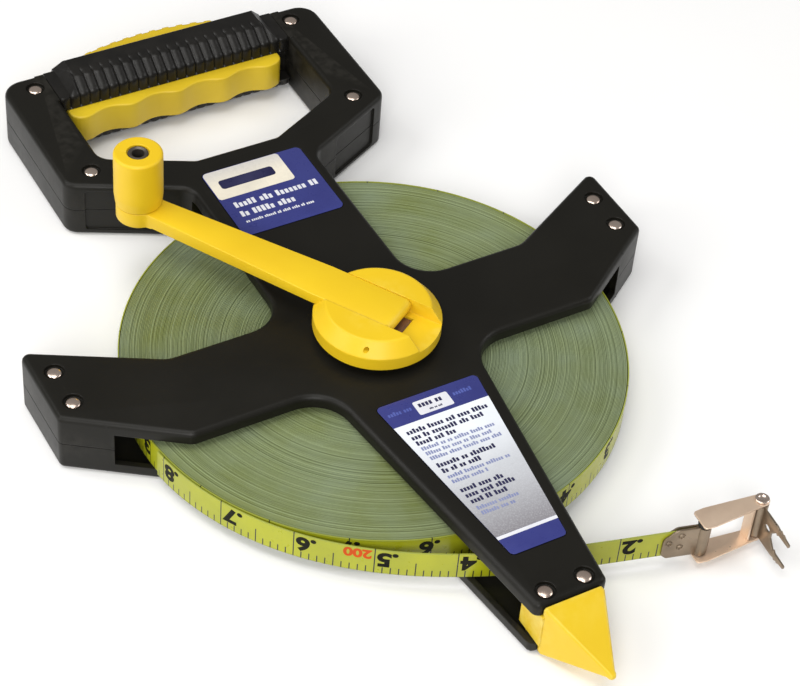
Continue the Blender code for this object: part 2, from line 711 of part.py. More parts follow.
def make_crank(arm_axis, knob_axis):
    crank = frame_at(0, 0, CRANK_ANGLE)
    arm = prism("crank_arm", [arm_outline()], PAD_LOW - 1, ARM_TOP, 0.0, crank)
    side = prism("arm_side_view", [arm_side()], -15, 15, 0.0, crank @ UPRIGHT)
    combine(arm, "INTERSECT", side)
    cut(arm, pin_rod("arm_pin_bore", PIN_RADIUS + GAP, -12, 12, 12))
    knob = crank @ Matrix.Translation((KNOB_ALONG * MM, 0, 0))
    seat = PAD_LOW + 1.65
    cut(arm, rods("arm_rivet_bore", [(0, 0)], KNOB_BORE, 30, 45, 20, knob))
    cut(arm, rods("arm_rivet_seat", [(0, 0)], 5.4, 30, seat, 20, knob))
    finish(arm, "yellow_plastic", arm_axis)

    head, foot, tip = KNOB_TOP - 0.95, seat - 0.4, KNOB_TOP - 0.35
    rivet = [(4.1, tip), (4.1, head), (TUBE_OUTER, head), (TUBE_OUTER, foot), (5.0, foot),
             (5.0, foot - 1), (TUBE_INNER, foot - 1), (TUBE_INNER, tip)]
    finish(turned("knob_rivet", rivet, 20, knob, ring=True), "steel", arm_axis)
    low, ledge = ARM_TOP + 0.4, KNOB_TOP - 1.25
    body = [(KNOB_RADIUS - 0.7, KNOB_TOP), (KNOB_RADIUS, KNOB_TOP - 0.8), (KNOB_RADIUS, 47),
            (KNOB_RADIUS - 0.5, low), (KNOB_BORE, low), (KNOB_BORE, ledge), (4.5, ledge),
            (4.5, KNOB_TOP)]
    finish(turned("crank_knob", body, 24, knob, ring=True), "yellow_plastic", knob_axis)


# ---------------------------------------------------------------- tape's free end

def leaving_path():
    """Middle line of the free span. It leaves the roll with the roll's curvature, which fades
    to none, and then runs straight into the ferrule."""
    turn = TAPE_HEADING - (LEAVE_ANGLE + math.pi / 2)
    length = turn * LEAVE_RADIUS * (EASING + 1) / EASING
    steps = 30
    step = length / steps
    x = LEAVE_RADIUS * math.cos(LEAVE_ANGLE)
    y = LEAVE_RADIUS * math.sin(LEAVE_ANGLE)
    points = [Vector((x, y))]
    for k in range(steps):
        gone = (k + 0.5) / steps
        bend = length * (gone - gone ** (EASING + 1) / (EASING + 1)) / LEAVE_RADIUS
        heading = LEAVE_ANGLE + math.pi / 2 + bend
        points.append(points[-1] + step * Vector((math.cos(heading), math.sin(heading))))
    ahead = Vector((math.cos(TAPE_HEADING), math.sin(TAPE_HEADING)))
    aside = Vector((-ahead.y, ahead.x))
    end = Vector(FERRULE) + ahead * 13.4
    drift = (points[-1] - end).dot(aside)
    shift = [-drift * (k / steps) ** 2 for k in range(steps + 1)]
    return [point + aside * move for point, move in zip(points, shift)] + [end]


def strip(path, thickness):
    """Outline of a strip of this thickness about a path."""
    left, right = [], []
    for k, point in enumerate(path):
        heading = (path[min(k + 1, len(path) - 1)] - path[max(k - 1, 0)]).normalized()
        aside = Vector((-heading.y, heading.x)) * thickness / 2
        left.append(point + aside)
        right.append(point - aside)
    return right + left[::-1]


def across_tape(name, places, radius, half, placing):
    """Rods through the tape's thickness at (along, Z) places."""
    return rods(name, places, radius, -half, half, 8, placing @ UPRIGHT)


def make_tape_end(axis):
    ferrule = frame_at(*FERRULE, TAPE_HEADING)
    low, high = TAPE_LOW - FERRULE_RISE, TAPE_LOW + TAPE_WIDTH + FERRULE_RISE

    lead = prism("tape_lead", [strip(leaving_path(), TAPE_THICKNESS)], TAPE_LOW,
                 TAPE_LOW + TAPE_WIDTH)
    cut(lead, across_tape("tape_rivet_holes", FERRULE_RIVETS, 1.0, 3, ferrule))
    finish(lead, "tape_face")

    outline = [(2.5, low), (16, low), (16, high), (6.0, high), (0, high - 4.5), (0, low + 1.5)]
    fold = prism("tape_ferrule", [[Vector(place) for place in outline]], -FERRULE_HALF,
                 FERRULE_HALF, 0.0, ferrule @ UPRIGHT)
    add(fold, rods("ferrule_knuckle", [(KNUCKLE, 0)], KNUCKLE_RADIUS, low, high, 16, ferrule))
    slot = TAPE_THICKNESS / 2 + GAP + 0.02
    cut(fold, blocks("ferrule_slot", [(-1, 14.0, -slot, slot, 0, 30)], ferrule))
    cut(fold, rods("ferrule_bore", [(KNUCKLE, 0)], KNUCKLE_PIN + GAP, 0, 30, 12, ferrule))
    cut(fold, across_tape("ferrule_rivet_holes", FERRULE_RIVETS, 1.0, 3, ferrule))
    finish(fold, "steel", axis)

    head = FERRULE_HALF + GAP
    profile = [(0, head + 0.5), (1.0, head + 0.35), (1.4, head), (0.65, head),
               (0.65, -head), (1.4, -head), (1.0, -head - 0.35), (0, -head - 0.5)]
    lay_flat = Matrix.Rotation(math.pi / 2, 4, "X")
    for number, (along, z) in enumerate(FERRULE_RIVETS, 1):
        spot = ferrule @ Matrix.Translation(Vector((along, 0, z)) * MM) @ lay_flat
        finish(turned(f"ferrule_rivet_{number}", profile, 8, spot), "steel", axis)

    knuckle = ferrule @ Matrix.Translation((KNUCKLE * MM, 0, 0))
    pin = [(0, LINK_HIGH), (KNUCKLE_PIN, LINK_HIGH), (KNUCKLE_PIN, LINK_LOW), (0, LINK_LOW)]
    finish(turned("knuckle_pin", pin, 12, knuckle), "steel", axis)
    top, bore = LINK_HIGH - SHEET - GAP, KNUCKLE_PIN + GAP
    spacer = [(2.8, top), (2.8, high + GAP), (bore, high + GAP), (bore, top)]
    finish(turned("knuckle_spacer", spacer, 16, knuckle, ring=True), "black_rubber", axis)


def along_tape(distance):
    return Vector(FERRULE) + distance * Vector((math.cos(TAPE_HEADING), math.sin(TAPE_HEADING)))


def link_outline():
    """Top view of the stirrup: wide at the ferrule, round at the far pin."""
    arc = []
    for a in range(75, -76, -25):
        angle = math.radians(a)
        arc.append(Vector((LINK_LENGTH + LINK_FAR * math.cos(angle), LINK_FAR * math.sin(angle))))
    near = [(1.5, -4.9), (-2.6, -4.6), (-3.3, -3.9), (-3.3, 3.9), (-2.6, 4.6), (1.5, 4.9)]
    return arc + [Vector(point) for point in near]


def make_hook(link_axis, claw_axis):
    knuckle = along_tape(KNUCKLE)
    link_frame = frame_at(*knuckle, LINK_ANGLE)
    outline = link_outline()
    link = prism("hook_link", [outline], LINK_HIGH - SHEET, LINK_HIGH, 0.0, link_frame)
    lower = prism("link_lower_plate", [outline], LINK_LOW, LINK_LOW + SHEET, 0.0, link_frame)
    web_at = LINK_LENGTH - 4.6
    web = (web_at, web_at + SHEET, -2.4, 2.4, LINK_LOW + SHEET / 2, LINK_HIGH - SHEET / 2)
    add(link, blocks("link_web", [web], link_frame), lower)
    far = link_frame @ Matrix.Translation((LINK_LENGTH * MM, 0, 0))
    cut(link, rods("link_near_bore", [(0, 0)], KNUCKLE_PIN + GAP, 0, 30, 12, link_frame))
    cut(link, rods("link_far_bore", [(0, 0)], TUBE_PIN + GAP, 0, 30, 16, far))
    finish(link, "steel", link_axis)

    upper, lower, flange = LINK_HIGH + GAP, LINK_LOW - GAP, 0.5
    pin = [(2.7, upper + flange), (2.7, upper), (TUBE_PIN, upper), (TUBE_PIN, lower),
           (2.7, lower), (2.7, lower - flange), (1.2, lower - flange), (1.2, upper + flange)]
    finish(turned("link_pin", pin, 16, far, ring=True), "steel", link_axis)

    far_x, far_y = (far.to_translation() / MM)[:2]
    claw_frame = frame_at(far_x, far_y, CLAW_ANGLE)
    inner = TUBE_PIN + GAP
    tube = [(3.0, CLAW_HIGH), (3.0, CLAW_LOW), (inner, CLAW_LOW), (inner, CLAW_HIGH)]
    claw = turned("hook_claw", tube, 20, claw_frame, ring=True)
    middle = (CLAW_LOW + CLAW_HIGH) / 2
    half = [(2.5, 7.8), (12.6, 8.0), (21.4, 6.6), (21.4, 5.2), (14.6, 5.0), (13.6, 4.0),
            (13.0, 4.8), (10.0, 1.2)]
    outline = [(w, middle + z) for w, z in half] + [(w, middle - z) for w, z in reversed(half)]
    hole = circle(7.2, middle + 1.5, 1.5, 10)
    plate = prism("claw_plate", [[Vector(p) for p in outline], hole], -CLAW_SHEET, CLAW_SHEET,
                  0.0, claw_frame @ UPRIGHT)
    add(claw, plate)
    finish(claw, "steel", claw_axis)


def main():
    make_frames()
    make_rivets()
    make_spike()
    make_grip()
    reel_axis = axis_empty("reel_axis", 0, 0, 0)
    crank = Vector((math.cos(CRANK_ANGLE), math.sin(CRANK_ANGLE)))
    fold_axis = axis_empty("crank_fold_axis", *(PIN_ALONG * crank), PIN_HEIGHT, reel_axis)
    knob_axis = axis_empty("knob_axis", *(KNOB_ALONG * crank), ARM_TOP, fold_axis)
    make_reel(reel_axis)
    make_hub(reel_axis)
    make_crank(fold_axis, knob_axis)
    tape_axis = axis_empty("tape_end_origin", *FERRULE, TAPE_LOW)
    knuckle = along_tape(KNUCKLE)
    link_axis = axis_empty("hook_link_axis", *knuckle, LINK_LOW, tape_axis)
    far = knuckle + LINK_LENGTH * Vector((math.cos(LINK_ANGLE), math.sin(LINK_ANGLE)))
    claw_axis = axis_empty("claw_axis", *far, LINK_LOW, link_axis)
    make_tape_end(tape_axis)
    make_hook(link_axis, claw_axis)


clear_scene()
REEL = new_collection("tape_reel")
CUTTERS = new_collection("cutters")
CUTTERS.hide_render = True
MATERIALS = {name: make_material(name) for name in COLOURS}
main()
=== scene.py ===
"""Visual model of the tape reel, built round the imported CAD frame. Lengths are in millimetres
and become metres in the helpers. The reel's axis is Z, the grip is at +Y and the spike at -Y."""

import json
import math
import random

import bmesh
import bpy
from mathutils import Matrix, Vector


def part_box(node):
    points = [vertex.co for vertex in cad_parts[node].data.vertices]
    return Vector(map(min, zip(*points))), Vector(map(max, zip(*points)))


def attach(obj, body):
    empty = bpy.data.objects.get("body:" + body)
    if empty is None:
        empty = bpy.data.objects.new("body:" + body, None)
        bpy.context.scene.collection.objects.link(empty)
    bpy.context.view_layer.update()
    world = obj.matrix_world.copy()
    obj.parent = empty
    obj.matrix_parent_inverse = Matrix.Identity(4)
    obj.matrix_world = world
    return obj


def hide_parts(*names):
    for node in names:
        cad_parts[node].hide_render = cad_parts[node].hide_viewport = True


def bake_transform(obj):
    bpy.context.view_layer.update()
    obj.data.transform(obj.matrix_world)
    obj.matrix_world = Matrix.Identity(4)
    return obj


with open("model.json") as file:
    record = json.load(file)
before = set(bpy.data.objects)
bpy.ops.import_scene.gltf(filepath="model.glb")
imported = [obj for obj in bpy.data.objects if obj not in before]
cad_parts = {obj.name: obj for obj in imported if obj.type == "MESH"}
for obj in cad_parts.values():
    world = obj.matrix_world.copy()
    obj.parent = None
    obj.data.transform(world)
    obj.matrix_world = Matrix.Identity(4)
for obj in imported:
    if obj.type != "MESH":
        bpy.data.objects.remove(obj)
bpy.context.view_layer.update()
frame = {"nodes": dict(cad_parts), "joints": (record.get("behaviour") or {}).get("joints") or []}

MM = 0.001
NO_TURN = Matrix.Identity(4)
FLAT_Y = Matrix(((1, 0, 0, 0), (0, 0, -1, 0), (0, 1, 0, 0), (0, 0, 0, 1)))


def span(node, axis):
    """Lowest and highest place of a CAD node along an axis, in millimetres."""
    low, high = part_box(node)
    return low[axis] / MM, high[axis] / MM


def joint(name):
    return next(row for row in frame["joints"] if row["name"] == name)


def anchor(name):
    return Vector(joint(name)["pos_m"]) / MM


def unit(angle):
    return Vector((math.cos(angle), math.sin(angle)))


# Frame halves
HUB_BOSS_RISE = 2.4
THICKNESS = span("front_frame", 2)[1] - HUB_BOSS_RISE
PARTING = THICKNESS / 2
SEAM = 0.15
RIM = 5.5                        # how deep the edge of each face reaches over the roll
SKIN = 2.5                       # thickness of the faces and walls
EDGE = 2.3                       # rounding of the outer edges
HANDLE_BACK, HANDLE_FRONT, HANDLE_HALF = -204.3, -131.0, 75.5
OPENING_FRONT, OPENING_HALF = -124.4, 55.3
NECK_HALF, NECK_TOP = 29.0, -108.0
WAIST_BACK, WAIST_FRONT = -21.7, 19.8
ARM_REACH = span("front_frame", 0)[1]
ARM_BACK, ARM_FRONT, ARM_BOX = -49.0, -9.0, 113.0
HANDLE_BOX = -106.0
NOSE_TIP, NOSE_HALF, NOSE_ROOT_HALF = 147.0, 15.06, 31.85
COUNTERBORE, COUNTERBORE_DEPTH = 4.0, 1.6
LABEL_DEPTH = 0.4
PRINT_RISE = 0.06                # each layer of print above the film below it
GAP = 0.3                        # between pieces that don't touch
BOSS, RIVET_BORE = 4.8, 1.9
HUB_BOSS, HUB_BOSS_TOP, REAR_BOSS, BEARING = 19.5, 29.4, 13.0, 7.5
JAMB = (-1.2, 38.8)
SHOULDER_FRONT, SHOULDER_BACK, SHOULDER_WIDTH = 184.5, 203.5, 4.0
PANEL = (-14, 14, 3.0, 24.0, 1.5)  # along the wall, up it, and the corners' radius
PANEL_DEPTH, PANEL_SHARE = 0.9, 0.42
NOSE_LINE = -100.0               # the rivets beyond it are the nose's
RIVET_NAMES = [f"{place}_rivet_{side}" for side in ("right", "left") for place in
               ("handle_rear", "handle_front", "arm_rear", "arm_front", "nose")]

# Grip
GRIP_HALF = OPENING_HALF - GAP
SLEEVE_TOP = span("grip_sleeve_front", 2)[1]
CORE_LOW = 6.7
CORE_HIGH = THICKNESS - CORE_LOW
CORE_LEFT, CORE_RIGHT = -52.0, 49.5
BAR_BACK, BAR_FRONT, BAR_TOP, BAR_LOW = 201.5, 187.5, 26.0, 2.6
PALM_ROOT, PALM_BACK, PALM_HALF = 207.0, 219.0, 47.5
RIB_EDGE = 196.5                 # the ribs fade out behind it
RIB_DEPTH, RIB_ROUND = 1.25, 0.96

# Reel and crank
TAPE_LOW, TAPE_HIGH = span("tape_roll", 2)
ROLL_RADIUS = span("tape_roll", 0)[1]
ROLL_INNER = 39.0
FOLD = joint("crank_fold")
CRANK_ANGLE = math.atan2(FOLD["axis"][1], FOLD["axis"][0]) + math.pi / 2
PIN_ALONG = -anchor("crank_fold").xy.length
PIN_HEIGHT = anchor("crank_fold").z
KNOB_ALONG = anchor("knob_spin").xy.length
ARM_TOP = span("crank_arm", 2)[1]
KNOB_TOP = span("crank_knob", 2)[1]

# Free end of the tape
HEADING = math.atan2(joint("tape_draw")["axis"][1], joint("tape_draw")["axis"][0])
AHEAD = unit(HEADING)
KNUCKLE = anchor("hook_link_pivot").xy
FERRULE_LENGTH = 17.3
FERRULE = KNUCKLE - FERRULE_LENGTH * AHEAD
CLAW_PIN = anchor("claw_pivot").xy
LINK_REACH = (CLAW_PIN - KNUCKLE).length
LINK_SHEET = 0.8
KNUCKLE_BORE = 1.6
WRAP_RADIUS = ROLL_RADIUS - 0.3
LEAVE_RADIUS = ROLL_RADIUS + 0.6
LEAVE_ANGLE = math.radians(-171.75)
TAPE_THICKNESS = 0.45
TICK = 3.048                     # a hundredth of a foot
NUMBER_TICKS = 10                # from one numbered line to the next
NUMBER_BEFORE, NUMBER_AFTER = 0.8, 1.1   # clear space between a number and its line
NUMBER_RISE = 0.05
FERRULE_READING = 45.4           # distance from the scale's zero to the ferrule
ROLL_MARK = math.radians(-109.5)  # where the roll's 26th tenth lies
ROLL_READING = 26 * NUMBER_TICKS * TICK
DRAW_START, DRAW_END = 6.5, 3.5  # before the ferrule, where the drawn tape starts and ends


# Materials

class Graph:
    """A material's nodes, added one at a time and linked to what they read."""

    def __init__(self, name, roughness, metallic=0.0):
        self.material = bpy.data.materials.new(name)
        self.material.use_nodes = True
        self.tree = self.material.node_tree
        self.shader = self.tree.nodes["Principled BSDF"]
        self.shader.inputs["Roughness"].default_value = roughness
        self.shader.inputs["Metallic"].default_value = metallic
        self.place = self.add("TexCoord").outputs["Object"]

    def add(self, kind, inputs=(), **settings):
        node = self.tree.nodes.new("ShaderNode" + kind)
        for key, value in settings.items():
            setattr(node, key, value)
        for key, value in dict(inputs).items():
            self.put(node.inputs[key], value)
        return node

    def put(self, socket, value):
        if isinstance(value, bpy.types.NodeSocket):
            self.tree.links.new(value, socket)
        elif socket.type == "RGBA":
            socket.default_value = (*value[:3], 1.0)
        else:
            socket.default_value = value

    def math(self, operation, first, second=0.0):
        return self.add("Math", {0: first, 1: second}, operation=operation).outputs[0]

    def noise(self, scale, detail=3.0, place=None):
        inputs = {"Vector": place or self.place, "Scale": scale, "Detail": detail}
        return self.add("TexNoise", inputs).outputs["Fac"]

    def between(self, value, low, high, start=0.0, end=1.0):
        inputs = {"Value": value, "From Min": low, "From Max": high,
                  "To Min": start, "To Max": end}
        return self.add("MapRange", inputs).outputs["Result"]

    def mix(self, share, first, second):
        inputs = {"Factor": share, 6: first, 7: second}
        return self.add("Mix", inputs, data_type="RGBA").outputs[2]

    def bump(self, height, distance, strength=1.0, normal=None):
        inputs = {"Height": height, "Distance": distance * MM, "Strength": strength}
        if normal:
            inputs["Normal"] = normal
        return self.add("Bump", inputs).outputs["Normal"]

    def soft_edges(self, radius):
        return self.add("Bevel", {"Radius": radius * MM}, samples=6).outputs["Normal"]

    def worn(self, colour, wear_and_sheen, start=0.53, amount=0.6):
        """Mixes in a paler colour on outer edges, broken up by noise: partly wear, partly a painted
        edge highlight.
        """
        edge = self.add("NewGeometry").outputs["Pointiness"]
        share = self.between(edge, start, start + 0.06, 0.0, amount)
        broken = self.math("MULTIPLY", share, self.between(self.noise(260), 0.35, 0.65))
        return self.mix(broken, colour, wear_and_sheen)

    def finish(self, **inputs):
        for key, value in inputs.items():
            self.put(self.shader.inputs[key.replace("_", " ")], value)
        return self.material


def plastic(name, colour, shade, wear_and_sheen, roughness, grain=0.02, edge=0.5, gloss=0.5):
    """Moulded plastic: faint mottling, moulding grain, soft scuffs, and paler edges: wear and painted
    highlight.
    """
    g = Graph(name, roughness)
    base = g.mix(g.between(g.noise(28), 0.35, 0.65), colour, shade)
    # paler outer edges: partly wear, partly a painted edge highlight
    base = g.worn(base, wear_and_sheen)
    scuffs = g.noise(420, 6)
    rough = g.between(g.math("ADD", g.noise(60), g.math("MULTIPLY", scuffs, 0.5)),
                      0.5, 1.0, roughness - 0.03, roughness + 0.05)
    normal = g.bump(g.noise(2600, 2), grain, 0.5, g.soft_edges(edge))
    return g.finish(Base_Color=base, Roughness=rough, Normal=normal, Specular_IOR_Level=gloss)


def rubber(name, colour, shade, roughness):
    """Soft moulded rubber with a fine matt grain and a dusty sheen."""
    g = Graph(name, roughness)
    base = g.mix(g.between(g.noise(90), 0.4, 0.65), colour, shade)
    rough = g.between(g.noise(600, 5), 0.3, 0.7, roughness - 0.08, roughness + 0.08)
    normal = g.bump(g.noise(3800, 3), 0.03, 0.7)
    return g.finish(Base_Color=base, Roughness=rough, Normal=normal, Specular_IOR_Level=0.35,
                    Sheen_Weight=0.02, Sheen_Roughness=0.4)


def metal(name, colour, tarnish, roughness, metallic=1.0, brushed=1.0):
    """Plated steel: drawn-out brushing, cloudy tarnish and a slight waviness."""
    g = Graph(name, roughness, metallic)
    stretched = g.add("Mapping", {"Vector": g.place, "Scale": (1, 1, 9 * brushed)})
    lines = g.noise(500, 2, stretched.outputs[0])
    clouds = g.between(g.noise(95, 3), 0.35, 0.75)
    base = g.mix(clouds, colour, tarnish)
    rough = g.math("ADD", g.between(lines, 0.3, 0.7, roughness - 0.03, roughness + 0.03),
                   g.math("MULTIPLY", clouds, 0.08))
    normal = g.bump(g.noise(320, 1), 0.003, 0.3)
    return g.finish(Base_Color=base, Roughness=rough, Normal=normal)


def wound_tape():
    """Edges of the wound tape: each turn its own tint, with paler patches and streaks that are partly
    scuffs and partly painted reflections.
    """
    g = Graph("wound_tape_edges", 0.42)
    parts = g.add("SeparateXYZ", {0: g.place})
    x, y = parts.outputs[0], parts.outputs[1]
    radius = g.math("SQRT", g.math("ADD", g.math("MULTIPLY", x, x), g.math("MULTIPLY", y, y)))
    wander = g.math("MULTIPLY", g.math("SUBTRACT", g.noise(14, 1), 0.5), 0.0009)
    turn = g.add("CombineXYZ", {0: g.math("ADD", radius, wander)}).outputs[0]
    fine = g.noise(1500, 2, turn)
    bands = g.noise(230, 4, turn)
    green = g.mix(g.between(bands, 0.3, 0.7), (0.155, 0.190, 0.055), (0.225, 0.265, 0.100))
    # paler patches and streaks: partly scuffs, partly painted reflections off the edges of the turns
    pale = g.mix(g.between(g.noise(30, 4), 0.35, 0.7, 0.0, 0.75), green, (0.245, 0.305, 0.215))
    streaks = g.between(fine, 0.50, 0.66, 0.0, 0.65)
    tinted = g.mix(streaks, pale, (0.36, 0.43, 0.24))
    dark = g.mix(g.between(fine, 0.34, 0.48, 0.7, 0.0), tinted, (0.075, 0.095, 0.035))
    rough = g.between(g.noise(300, 4), 0.3, 0.7, 0.3, 0.5)
    normal = g.bump(fine, 0.12, 0.6)
    return g.finish(Base_Color=dark, Roughness=rough, Normal=normal)


def scale_mask(g, along, across):
    """Where the scale's ticks are: along is in millimetres, across from 0 at the rear edge."""
    count = g.math("DIVIDE", along, TICK)
    nearest = g.math("ROUND", count)
    off = g.math("ABSOLUTE", g.math("SUBTRACT", count, nearest))
    line = g.math("LESS_THAN", off, 0.075)
    tenth = g.math("LESS_THAN", g.math("FLOORED_MODULO", g.math("ADD", nearest, 0.5), 10.0), 1.0)
    fifth = g.math("LESS_THAN", g.math("FLOORED_MODULO", g.math("ADD", nearest, 0.5), 5.0), 1.0)
    reach = g.math("MAXIMUM", g.math("MULTIPLY", tenth, 1.1), g.math("MULTIPLY", fifth, 0.56))
    reach = g.math("MAXIMUM", reach, 0.27)
    return g.math("MULTIPLY", line, g.math("LESS_THAN", across, reach))


def tape_face(name, straight):
    """Glossy lime coating with the scale's ticks. A straight run counts along its heading,
    so that the ticks keep their pitch however far it is drawn out."""
    g = Graph(name, 0.33)
    if straight:
        parts = g.add("SeparateXYZ", {0: g.place})
        ahead = g.math("ADD", g.math("MULTIPLY", parts.outputs[0], AHEAD.x),
                       g.math("MULTIPLY", parts.outputs[1], AHEAD.y))
        start = FERRULE.dot(AHEAD) + FERRULE_READING
        along = g.math("SUBTRACT", start, g.math("DIVIDE", ahead, MM))
        across = g.math("DIVIDE", g.math("SUBTRACT", parts.outputs[2], TAPE_LOW * MM),
                        (TAPE_HIGH - TAPE_LOW) * MM)
    else:
        layer = g.add("UVMap", uv_map="scale").outputs[0]
        parts = g.add("SeparateXYZ", {0: layer})
        along = g.math("MULTIPLY", parts.outputs[0], 1000.0)
        across = parts.outputs[1]
    lime = g.mix(g.between(g.noise(45), 0.35, 0.65), (0.400, 0.415, 0.008), (0.335, 0.355, 0.010))
    lime = g.mix(g.between(g.noise(700, 5), 0.6, 0.75, 0.0, 0.35), lime, (0.235, 0.255, 0.020))
    # a darker band along both edges of the tape face: painted shade
    rim = g.math("GREATER_THAN", g.math("ABSOLUTE", g.math("SUBTRACT", across, 0.5)), 0.475)
    lime = g.mix(g.math("MULTIPLY", rim, 0.5), lime, (0.24, 0.29, 0.08))
    inked = g.mix(scale_mask(g, along, across), lime, (0.012, 0.014, 0.010))
    rough = g.between(g.noise(240, 4), 0.3, 0.7, 0.26, 0.42)
    normal = g.bump(g.noise(1800, 3), 0.02, 0.5)
    return g.finish(Base_Color=inked, Roughness=rough, Normal=normal, Coat_Weight=0.1)


def printed(name, colour, shade, roughness=0.3, fade=None, coat=0.3):
    """Printed film: fine print grain, faint rubbing, and a fade along Y if it has one."""
    g = Graph(name, roughness)
    base = g.mix(g.between(g.noise(70, 4), 0.35, 0.7), colour, shade)
    if fade:
        start, end, second = fade
        y = g.add("SeparateXYZ", {0: g.place}).outputs[1]
        base = g.mix(g.between(y, start * MM, end * MM), base, second)
    base = g.mix(g.between(g.noise(1900, 2), 0.45, 0.8, 0.0, 0.25), base, shade)
    rough = g.between(g.noise(320, 4), 0.3, 0.7, roughness - 0.06, roughness + 0.1)
    return g.finish(Base_Color=base, Roughness=rough, Normal=g.bump(g.noise(900, 3), 0.01, 0.4),
                    Coat_Weight=coat, Coat_Roughness=0.15, Specular_IOR_Level=coat)


def make_materials():
    made = {
        "frame": plastic("black_moulding", (0.0078, 0.0072, 0.0054), (0.0095, 0.0088, 0.0066),
                         (0.026, 0.024, 0.020), 0.40, 0.02, 0.6, 0.22),
        "yellow": plastic("yellow_moulding", (0.790, 0.530, 0.012), (0.750, 0.490, 0.010),
                          (0.86, 0.66, 0.10), 0.42, 0.012, 0.35, 0.4),
        # the grip core's yellow is darker than its lit top needs: partly painted shade for its front
        # face
        "grip_yellow": plastic("grip_core_moulding", (0.70, 0.500, 0.018), (0.64, 0.445, 0.016),
                               (0.82, 0.67, 0.14), 0.40, 0.015, 0.5, 0.45),
        "spike": plastic("spike_moulding", (0.715, 0.490, 0.010), (0.685, 0.455, 0.009),
                         (0.80, 0.64, 0.12), 0.36, 0.01, 0.6, 0.45),
        "sleeve": rubber("grip_rubber", (0.0062, 0.0056, 0.0046), (0.0105, 0.0095, 0.0080), 0.40),
        "black_rubber": rubber("black_rubber", (0.010, 0.010, 0.010), (0.02, 0.02, 0.02), 0.6),
        "white_plastic": plastic("pale_moulding", (0.55, 0.54, 0.50), (0.48, 0.47, 0.43),
                                 (0.7, 0.7, 0.68), 0.45),
        "rivet": metal("rivet_steel", (0.86, 0.72, 0.62), (0.70, 0.54, 0.45), 0.2, 0.93, 0.2),
        "steel": metal("inner_steel", (0.60, 0.58, 0.55), (0.44, 0.40, 0.36), 0.34),
        "hook": metal("plated_sheet", (0.84, 0.65, 0.49), (0.72, 0.54, 0.40), 0.30, 0.6),
        # a darker copy of the plated sheet for the ferrule, its rivets and the claw: painted shade for
        # their upright faces
        "ferrule": metal("shade_darkened_sheet", (0.30, 0.235, 0.170), (0.19, 0.145, 0.100), 0.30, 0.8),
        "spring": metal("spring_strip", (0.34, 0.22, 0.15), (0.20, 0.12, 0.08), 0.34, 0.7),
        "dark_steel": metal("dark_tube", (0.16, 0.14, 0.12), (0.08, 0.07, 0.06), 0.38, 0.8, 0.5),
        "wound": wound_tape(),
        "face": tape_face("tape_face_curved", False),
        "face_straight": tape_face("tape_face_straight", True),
        "ink": printed("scale_ink", (0.006, 0.006, 0.004), (0.018, 0.018, 0.010), 0.45, None, 0.05),
        "red_ink": printed("red_ink", (0.60, 0.075, 0.012), (0.48, 0.08, 0.015), 0.45, None, 0.05),
        "blue": printed("label_blue", (0.034, 0.040, 0.190), (0.040, 0.048, 0.215)),
        "silver": printed("label_silver", (0.84, 0.88, 0.93), (0.76, 0.80, 0.85), 0.32,
                          (-60.0, -112.0, (0.24, 0.23, 0.25))),
        "silver_panel": printed("label_panel", (0.86, 0.80, 0.66), (0.76, 0.71, 0.60), 0.25,
                                (104.0, 114.0, (0.58, 0.56, 0.54))),
        "white": printed("label_white", (0.80, 0.81, 0.85), (0.68, 0.69, 0.75)),
        "navy": printed("label_navy", (0.018, 0.018, 0.060), (0.035, 0.035, 0.09), 0.3, None, 0.1),
        "pale_blue": printed("label_pale_blue", (0.20, 0.23, 0.42), (0.27, 0.30, 0.48)),
        "faint_blue": printed("label_faint_blue", (0.075, 0.10, 0.36), (0.10, 0.13, 0.42)),
    }
    return made


# Outlines

def rounded(corners, steps=8):
    """A closed outline through (x, y, radius) corners, with each corner an arc."""
    points = []
    for i, (x, y, radius) in enumerate(corners):
        corner = Vector((x, y))
        if not radius:
            points.append(corner)
            continue
        back = (Vector(corners[i - 1][:2]) - corner).normalized()
        ahead = (Vector(corners[(i + 1) % len(corners)][:2]) - corner).normalized()
        half = back.angle(ahead) / 2
        centre = corner + (back + ahead).normalized() * radius / math.sin(half)
        reach = radius / math.tan(half)
        first = corner + back * reach - centre
        last = corner + ahead * reach - centre
        start = math.atan2(first.y, first.x)
        turn = (math.atan2(last.y, last.x) - start + math.pi) % math.tau - math.pi
        for k in range(steps + 1):
            angle = start + turn * k / steps
            points.append(centre + radius * unit(angle))
    return points


def inset(corners, distance):
    """The corners moved inwards by distance, for an outline that runs anticlockwise."""
    moved = []
    for i, (x, y, radius) in enumerate(corners):
        corner = Vector((x, y))
        before = (corner - Vector(corners[i - 1][:2])).normalized()
        after = (Vector(corners[(i + 1) % len(corners)][:2]) - corner).normalized()
        normals = [Vector((-edge.y, edge.x)) for edge in (before, after)]
        shift = (normals[0] + normals[1]) / (1 + normals[0].dot(normals[1]))
        convex = before.x * after.y - before.y * after.x > 0
        place = corner + shift * distance
        change = -distance if convex else distance
        moved.append((place.x, place.y, max(radius + change, 0.5)))
    return moved


def rectangle(x0, x1, y0, y1, radius=0.0, steps=5):
    return rounded([(x0, y0, radius), (x1, y0, radius), (x1, y1, radius), (x0, y1, radius)], steps)


def frame_at(x, y, angle=0.0, z=0.0):
    """A placing whose local X points along angle."""
    return Matrix.Translation(Vector((x, y, z)) * MM) @ Matrix.Rotation(angle, 4, "Z")


# Solids

HELPERS = []                     # every object made since the last finished piece


def in_scene(name, data):
    obj = bpy.data.objects.new(name, data)
    bpy.context.scene.collection.objects.link(obj)
    return obj


def new_object(name, mesh, placing=NO_TURN):
    obj = in_scene(name, mesh)
    obj.matrix_world = placing
    HELPERS.append(obj)
    return obj


